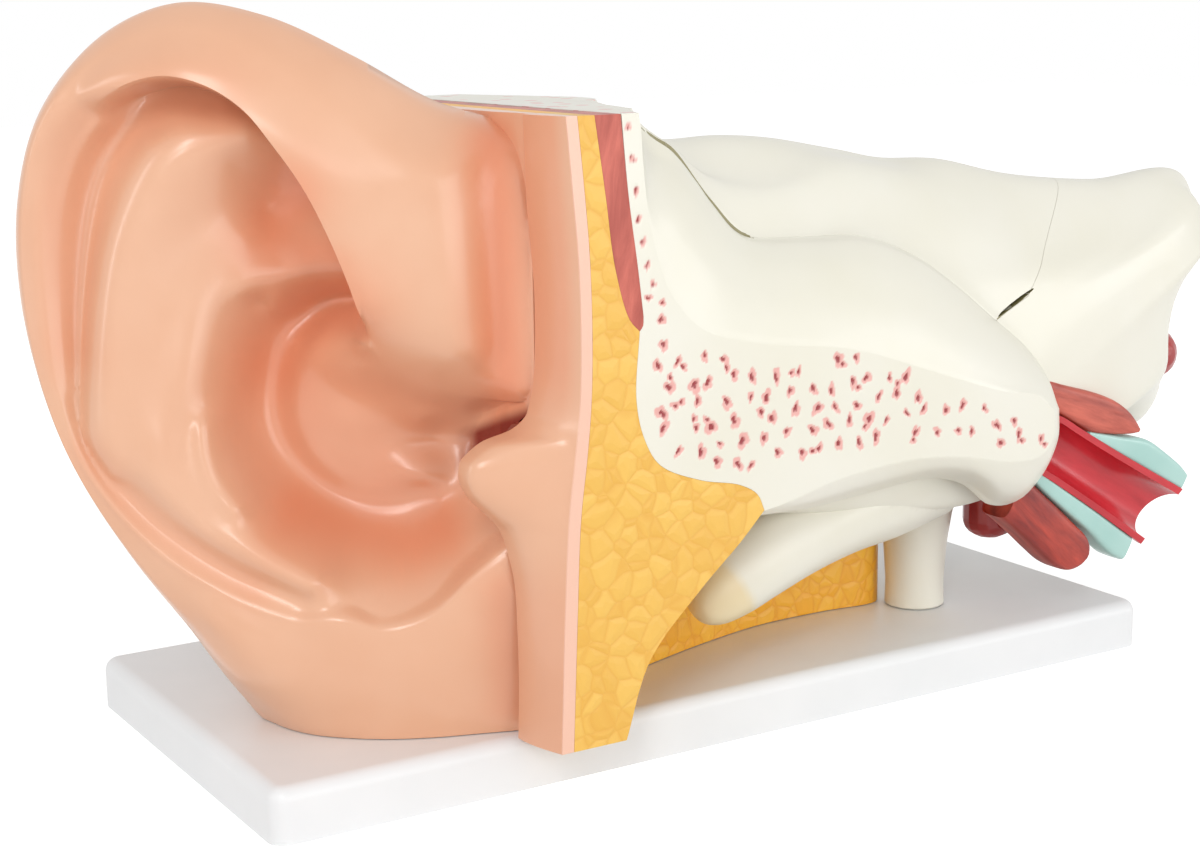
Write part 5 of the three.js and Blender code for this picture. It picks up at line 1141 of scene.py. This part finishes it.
def through(pairs, z):
    """The value at a height, on a smooth line through (height, value) pairs."""
    fine = catmull(pairs, 300)
    return np.interp(z, fine[:, 0], fine[:, 1])


def front_skin_x(z, y):
    """The outside of the front skin: rounded behind the cut face, with the tragus, and soft at the seam."""
    back = (y - FRONT_Y) / (SEAM_Y - FRONT_Y)
    rounded = np.sin(np.pi / 2 * np.clip(back * 1.12, 0, 1))
    plain = through(PLAIN_EDGE, z)
    tragus = np.minimum(through(TRAGUS_EDGE, z) - plain, 0) * smooth_step(50, 62, z) * (1 - smooth_step(101, 107, z))
    out = through(CUT_EDGE, z) * (1 - rounded) + plain * rounded + tragus * smooth_step(0.0, 0.7, back)
    edge = np.clip((y - (SEAM_Y - GAP - 1.0)) / 1.0, 0, 1)
    return out + 0.8 * (1 - np.sqrt(1 - 0.999 * edge**2))


def make_front_skin():
    ys = FRONT_Y + (SEAM_Y - GAP - FRONT_Y) * np.r_[np.linspace(0, 0.92, 38), np.linspace(0.935, 1, 8)]
    zs = np.linspace(FOOT_Z, CUT_TOP_Z, 300)
    rings = []
    for y in ys:
        outer = np.c_[front_skin_x(zs, y), np.full(len(zs), y), zs]
        inner = np.c_[through(FAT_LINE, zs) - HAIRLINE, np.full(len(zs), y), zs][::-1]
        rings.append(np.vstack([outer, inner]))
    return cut_all(loft("front_skin_fine", rings), canal_bore(start=-74), canal_bore(radius=9.2, start=-80))


front_skin = make_front_skin()
smooth_by_angle(front_skin, 45)
x, y, z = points_of(front_skin).T
mark(front_skin, "pale", y < FRONT_Y + NEAR_FACE)
# Painted shade: the front skin darkens towards its top behind the cut face, and towards its foot.
upper = 0.45 * smooth_step(96, 118, z) * smooth_step(FRONT_Y + 0.3, FRONT_Y + 6, y)
lower = 0.22 * (1 - smooth_step(50, 72, z))
mark(front_skin, "tint_and_painted_shade", (upper + lower) * (x < through(FAT_LINE, z) - 1.5))
finish_piece(front_skin, skin, "front_section", "skin_paint", "front_skin")

# %% Fat and muscle of the front section
heights = np.linspace(FOOT_Z, CUT_TOP_Z, 60)
fat_outside, fat_inside = moved(muscle_outside, -HAIRLINE), moved(bone_lower, -HAIRLINE)
fat_outline = np.vstack([fat_outside, fat_inside[2:], fat_slope[1:],
                         np.c_[through(FAT_LINE, heights) + HAIRLINE, heights]])
front_fat = prism_y("front_fat_fine", fat_outline, FRONT_Y, SEAM_Y - GAP)
cut_all(front_fat, canal_bore(), dowel_room(SLAB_DOWELS))
smooth_by_angle(front_fat)
finish_piece(front_fat, fat, "front_section", "fat_paint", "front_fat")
muscle_outline = np.vstack([moved(muscle_outside, HAIRLINE / 2), tip_down[::-1][1:-1],
                            moved(muscle_inside, HAIRLINE / 2)])
front_muscle = prism_y("front_muscle_fine", muscle_outline, FRONT_Y, SEAM_Y - GAP)
smooth_by_angle(front_muscle)
finish_piece(front_muscle, muscle, "front_section", "muscle_paint", "front_muscle")

# %% [markdown]
# ## Base, post and rear fat

# %% Base
SCREWS = [(-91.9, -15.8), (-55.1, 15.8), (18.4, 12), (POST_X, POST_Y)]


def shank(x, y, low, high):
    """The hole for a screw's shank."""
    return bar("shank", (x, y, low), (x, y, high), 2.2, steps=24)


base = box_object("base_board", (-150, -66.4, 0), (150, 66.4, BASE_TOP_Z))
bevel_edges(base, lambda z1, z2: abs(z1 - z2) > 10, 5, 10)
bevel_edges(base, lambda z1, z2: min(z1, z2) > BASE_TOP_Z - 0.1, 3.8, 8)
for x, y in SCREWS:
    cut_all(base, bar("sink", (x, y, -1), (x, y, 4), 4.3, steps=32), shank(x, y, -1, 16))
smooth_by_angle(base, 35)
finish_piece(base, base_paint, "model_stand", "base_plastic", "base_plate")

# %% Post
POST_SHAPE = [(0, 9.0), (0.5, 9.5), (2, 9.4), (8, 9.3), (20, 10.1), (30, 11.6), (36.7, 12.9)]
post = lathe("post", (POST_X, POST_Y, FOOT_Z), (0, 0, 1), POST_SHAPE, 96)
cut_all(post, copy_of(rear_bone, "bone_part"), shank(POST_X, POST_Y, FOOT_Z - 1, 28))
smooth_by_angle(post)
finish_piece(post, bone, "model_stand", "bone_paint", "support_post")

# %% Rear fat
FAT_FOOT = [(-57, SEAM_Y + 0.1), (-52, -52), (-40, -42), (-17, -34), (8, -26), (33, -20.5), (58, -20), (76, -21.5),
            (80.5, -18.5), (79, -12), (70, 0), (55, 14), (30, 25), (0, 34), (-30, BACK_Y - 0.2)]
fat_x = SKIN_INNER_X + HAIRLINE
foot_outline = np.vstack([[(fat_x, SEAM_Y)], catmull(FAT_FOOT, 120), [(fat_x, BACK_Y)]])
rear_fat = loft("rear_fat_fine", [[(x, y, z) for x, y in foot_outline] for z in (FOOT_Z, 90)])
upper_outline = np.vstack([[(fat_x, CUT_TOP_Z)], fat_outside, fat_inside[2:30],
                           [(bone_lower[29][0], 60), (fat_x, 60)]])
joined(rear_fat, prism_y("upper", upper_outline, SEAM_Y, BACK_Y))
cut_all(rear_fat, copy_of(rear_bone, "bone_part"), copy_of(cover, "cover_part"),
        bar("post_room", (POST_X, POST_Y, 0), (POST_X, POST_Y, 60), 10.5, 12.9), canal_bore(),
        dowel_room(SLAB_DOWELS), *(shank(x, y, 10, 28) for x, y in SCREWS[:3]))
smooth_by_angle(rear_fat)
finish_piece(rear_fat, rear_fat_paint_with_painted_light, "model_stand", "fat_paint", "rear_fat")
print("rear fat", len(rear_fat.data.polygons), "faces")

# %% [markdown]
# ## Auditory tube
# Half a pipe of red mucosa leaves the bone on a slant, between two strips of cartilage and two muscles.

# %% Mucosa and cartilage
# Distance along the tube, outer and inner radius
TUBE_SHAPE = [(-82, 4.6, 3.2), (-40, 4.6, 3.2), (-12, 4.6, 3.2), (-6, 5.2, 3.6), (-1, 8, 6.2), (4, 9.3, 7.4),
              (14, 9.5, 7.5), (34, 10, 7.9), (68, 11.6, 9.3)]
shape = catmull(TUBE_SHAPE, 160)
angle = np.linspace(0, math.pi, 40)
rings = []
for along, outer, inner in shape:
    turn = INNER_TURN * (1 - smooth_step(-8, 4, along)) + TUBE_TURN * smooth_step(-8, 4, along)
    middle = on_tube(along, 0, 0)
    up = np.array([-math.sin(turn), 0, math.cos(turn)])
    ring = []
    for radius, sweep in ((outer, angle), (inner, angle[::-1])):
        ring += [middle + up * radius * math.cos(t) + np.array([0, GAP / 2 + radius * math.sin(t), 0]) for t in sweep]
    rings.append(ring)
mucosa = loft("mucosa_fine", rings)
end_cut = [tuple(on_tube(a, u, 0)[[0, 2]]) for a, u in ((67, 15), (57.5, -15), (92, -15), (92, 15))]
cut(mucosa, prism_y("end", end_cut, SEAM_Y - 5, SEAM_Y + 30))
smooth_by_angle(mucosa)
finish_piece(mucosa, mucosa_paint, "model_stand", "mucosa_paint", "tube_mucosa")


def strip(name, stations, depth, side):
    """A strip with soft edges that lies against the tube: distance along it, then the strip's two heights."""
    rings = []
    angle = np.linspace(0, 2 * math.pi, 48, endpoint=False)
    across, deep = (np.sign(value) * np.abs(value) ** 0.4 for value in (np.cos(angle), np.sin(angle)))
    for along, low, high in catmull(stations, 60):
        up = side * ((low + high) / 2 + (high - low) / 2 * across)
        rings.append(on_tube(along, up, (GAP + depth) / 2 + (depth - GAP) / 2 * deep))
    obj = loft(name, rings)
    smooth_by_angle(obj, 50)
    return obj


upper_strip = strip("cartilage_upper_fine", [(18, 9.0, 10.4), (24, 9.2, 12.4), (31, 9.4, 14.8), (43, 9.9, 18.9),
                                             (54, 10.4, 18.8), (62, 10.8, 18), (65.5, 11, 17)], 10, 1)
finish_piece(upper_strip, cartilage_paint, "model_stand", "cartilage_paint", "tube_cartilage_upper")
lower_strip = strip("cartilage_lower_fine", [(2, 8.6, 11.8), (10, 8.8, 13.4), (22, 9.1, 15), (36, 9.5, 16.8),
                                             (50, 10.2, 19.2), (54.6, 10.4, 18.8)], 10, -1)
finish_piece(lower_strip, cartilage_paint, "model_stand", "cartilage_paint", "tube_cartilage_lower")

# %% Muscles of the palate
tensor = strip("tensor_fine", [(-9, 9.6, 16.2), (2, 9.6, 18.8), (12, 9.7, 21.5), (19, 10.1, 23), (25, 12.5, 23.6),
                               (31, 15.1, 23.1), (35.3, 17.3, 21.6), (37.3, 18.8, 20.4)], 9.5, 1)
levator = strip("levator_fine", [(-6, -26.5, -13), (4, -27.5, -12.5), (13, -28.8, -13.8), (22, -30.4, -15.2),
                                 (30, -31.4, -16.6), (35.5, -30.6, -17.6), (38.4, -28, -19.4),
                                 (39.4, -25.2, -21.8)], 12.5, 1)
for obj, paint, node in ((tensor, tensor_paint, "tensor_muscle"), (levator, levator_paint, "levator_muscle")):
    cut(obj, copy_of(rear_bone, "bone_part"))
    smooth_by_angle(obj, 60)
    finish_piece(obj, paint, "model_stand", "muscle_paint", node)
print("tube group done")

# %% [markdown]
# ## Small soft pieces
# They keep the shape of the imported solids. A fine skin over each takes away its facets.

# %% Soft pieces
SOFT = {
    "eardrum": (drum_paint, "eardrum_unit", "drum_paint"),
    "malleus": (bone, "eardrum_unit", "bone_paint"),
    "incus": (bone, "eardrum_unit", "bone_paint"),
    "stapes": (bone, "labyrinth", "bone_paint"),
    "semicircular_canals": (labyrinth_paint, "labyrinth", "labyrinth_paint"),
    "cochlea": (labyrinth_paint, "labyrinth", "labyrinth_paint"),
    "vestibulocochlear_nerve": (nerve_paint, "labyrinth", "nerve_paint"),
    "carotid_artery_lower": (artery_paint, "model_stand", "artery_paint"),
    "carotid_artery_upper": (artery_paint, "model_stand", "artery_paint"),
}
# The upper artery is larger and higher than its solid, to show as much beside the bone as in the photo.
UPPER_ARTERY_SCALE = 1.08
UPPER_ARTERY_SHIFT = Vector((-0.0006, 0, 0.0032))
SMALLEST_VOXEL = 0.0003
VOXELS_ALONG = 140
for name, (material, body, slot) in SOFT.items():
    piece = copy_of(nodes[name], name + "_soft")
    if name == "carotid_artery_upper":
        middle = sum((vertex.co for vertex in piece.data.vertices), Vector()) / len(piece.data.vertices)
        grown = Matrix.Translation(middle + UPPER_ARTERY_SHIFT) @ Matrix.Scale(UPPER_ARTERY_SCALE, 4)
        piece.data.transform(grown @ Matrix.Translation(-middle))
    make_active(piece)
    fine = piece.modifiers.new("fine", "REMESH")
    fine.mode = "VOXEL"
    fine.voxel_size = max(SMALLEST_VOXEL, max(nodes[name].dimensions) / VOXELS_ALONG)
    calm = piece.modifiers.new("calm", "SMOOTH")
    calm.factor = 0.5
    calm.iterations = 8
    for modifier in ("fine", "calm"):
        bpy.ops.object.modifier_apply(modifier=modifier)
    bpy.ops.object.shade_smooth()
    finish_piece(piece, material, body, slot, name)
print(len(SOFT), "soft pieces")

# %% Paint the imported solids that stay
PAINT = {"rear_muscle": muscle, "canal_lining_rear": skin, "canal_lining_front": skin}
for name, node in nodes.items():
    node.data.materials.clear()
    node.data.materials.append(PAINT.get(name, steel))
short_pin = bar("slab_pin_3_short", *SLAB_DOWELS[2], DOWEL_RADIUS, steps=24)
finish_piece(short_pin, steel, "front_section", "pin_steel", "slab_pin_3")
print("painted", len(nodes))

# %% [markdown]
# ## Stage, light and camera
# The lamps are large and soft. The floor and the world look white to the camera only.

# %% Floor
bpy.ops.mesh.primitive_plane_add(size=6)
floor = bpy.context.active_object
floor.name = "floor"
material, tree, shader = new_material("floor_white")
for name, value in (("Base Color", (0.8, 0.8, 0.8)), ("Roughness", 1.0), ("Specular IOR Level", 0.0)):
    feed(tree, shader.inputs[name], value)


def seen_rays(tree):
    """One where a ray comes from the camera, a gloss or glass, and nought elsewhere."""
    path = tree.nodes.new("ShaderNodeLightPath")
    result = path.outputs["Is Camera Ray"]
    for name in ("Is Glossy Ray", "Is Transmission Ray"):
        result = calculate(tree, "MAXIMUM", result, path.outputs[name])
    return result


FLOOR_GLOW = 0.62
WORLD_LIGHT = 0.61
strength = calculate(tree, "MULTIPLY", seen_rays(tree), FLOOR_GLOW)
glow = add_node(tree, "ShaderNodeEmission", Color=(1, 1, 1), Strength=strength)
both = add_node(tree, "ShaderNodeAddShader", shader.outputs["BSDF"], glow.outputs["Emission"])
feed(tree, tree.nodes["Material Output"].inputs["Surface"], both.outputs["Shader"])
floor.data.materials.append(material)

# %% World
world = bpy.data.worlds.new("studio")
bpy.context.scene.world = world
world.use_nodes = True
tree = world.node_tree
tree.nodes.clear()
dim = add_node(tree, "ShaderNodeBackground", Color=(1, 1, 1), Strength=WORLD_LIGHT)
white = add_node(tree, "ShaderNodeBackground", Color=(1, 1, 1), Strength=1.0)
choose = add_node(tree, "ShaderNodeMixShader", seen_rays(tree), dim.outputs[0], white.outputs[0])
add_node(tree, "ShaderNodeOutputWorld", choose.outputs[0])
print("floor and world ready")


# %% Lamps
def lamp(name, place, target, size, power):
    """A rectangular lamp that points at a target, in metres and watts."""
    data = bpy.data.lights.new(name, "AREA")
    data.shape = "RECTANGLE"
    data.size, data.size_y = size
    data.energy = power
    obj = bpy.data.objects.new(name, data)
    bpy.context.scene.collection.objects.link(obj)
    obj.location = place
    obj.rotation_euler = (Vector(target) - Vector(place)).to_track_quat("-Z", "Y").to_euler()


lamp("key", (-1.0, -1.1, 1.0), (-0.05, -0.05, 0.1), (0.32, 0.55), 5.8)
lamp("front", (0.35, -1.7, 0.5), (0.0, -0.05, 0.1), (1.2, 0.7), 5.2)
lamp("left", (-1.5, -0.1, 0.45), (-0.1, -0.05, 0.1), (0.22, 0.8), 2.7)
lamp("near_left", (-0.62, -0.74, 0.36), (-0.13, -0.03, 0.1), (0.10, 0.16), 0.65)
lamp("low_front", (0.3, -1.3, 0.07), (0.05, -0.05, 0.07), (1.0, 0.1), 1.2)
lamp("low_right", (1.3, -1.1, 0.25), (0.05, -0.05, 0.06), (0.8, 0.4), 3.5)

# %% Camera
# The lens, the turn and the place come from the base's outline in the photo.
camera_data = bpy.data.cameras.new("camera")
camera = bpy.data.objects.new("camera", camera_data)
bpy.context.scene.collection.objects.link(camera)
camera_data.sensor_width = 36
camera_data.lens = 62.64
yaw, pitch, roll = (math.radians(v) for v in (31.36, 11.66, -0.82))
forward = Vector((math.sin(yaw) * math.cos(pitch), math.cos(yaw) * math.cos(pitch), -math.sin(pitch)))
right = Vector((math.cos(yaw), -math.sin(yaw), 0))
up = right.cross(forward)
rolled_right = right * math.cos(roll) + up * math.sin(roll)
rolled_up = up * math.cos(roll) - right * math.sin(roll)
turn = Matrix((rolled_right, rolled_up, -forward)).transposed()
camera.matrix_world = Matrix.Translation((-0.3346, -0.5286, 0.2090)) @ turn.to_4x4()
camera_data.clip_start = 0.01
camera_data.clip_end = 20
bpy.context.scene.camera = camera
bpy.context.scene.view_settings.view_transform = "Standard"
print("lamps and camera ready")
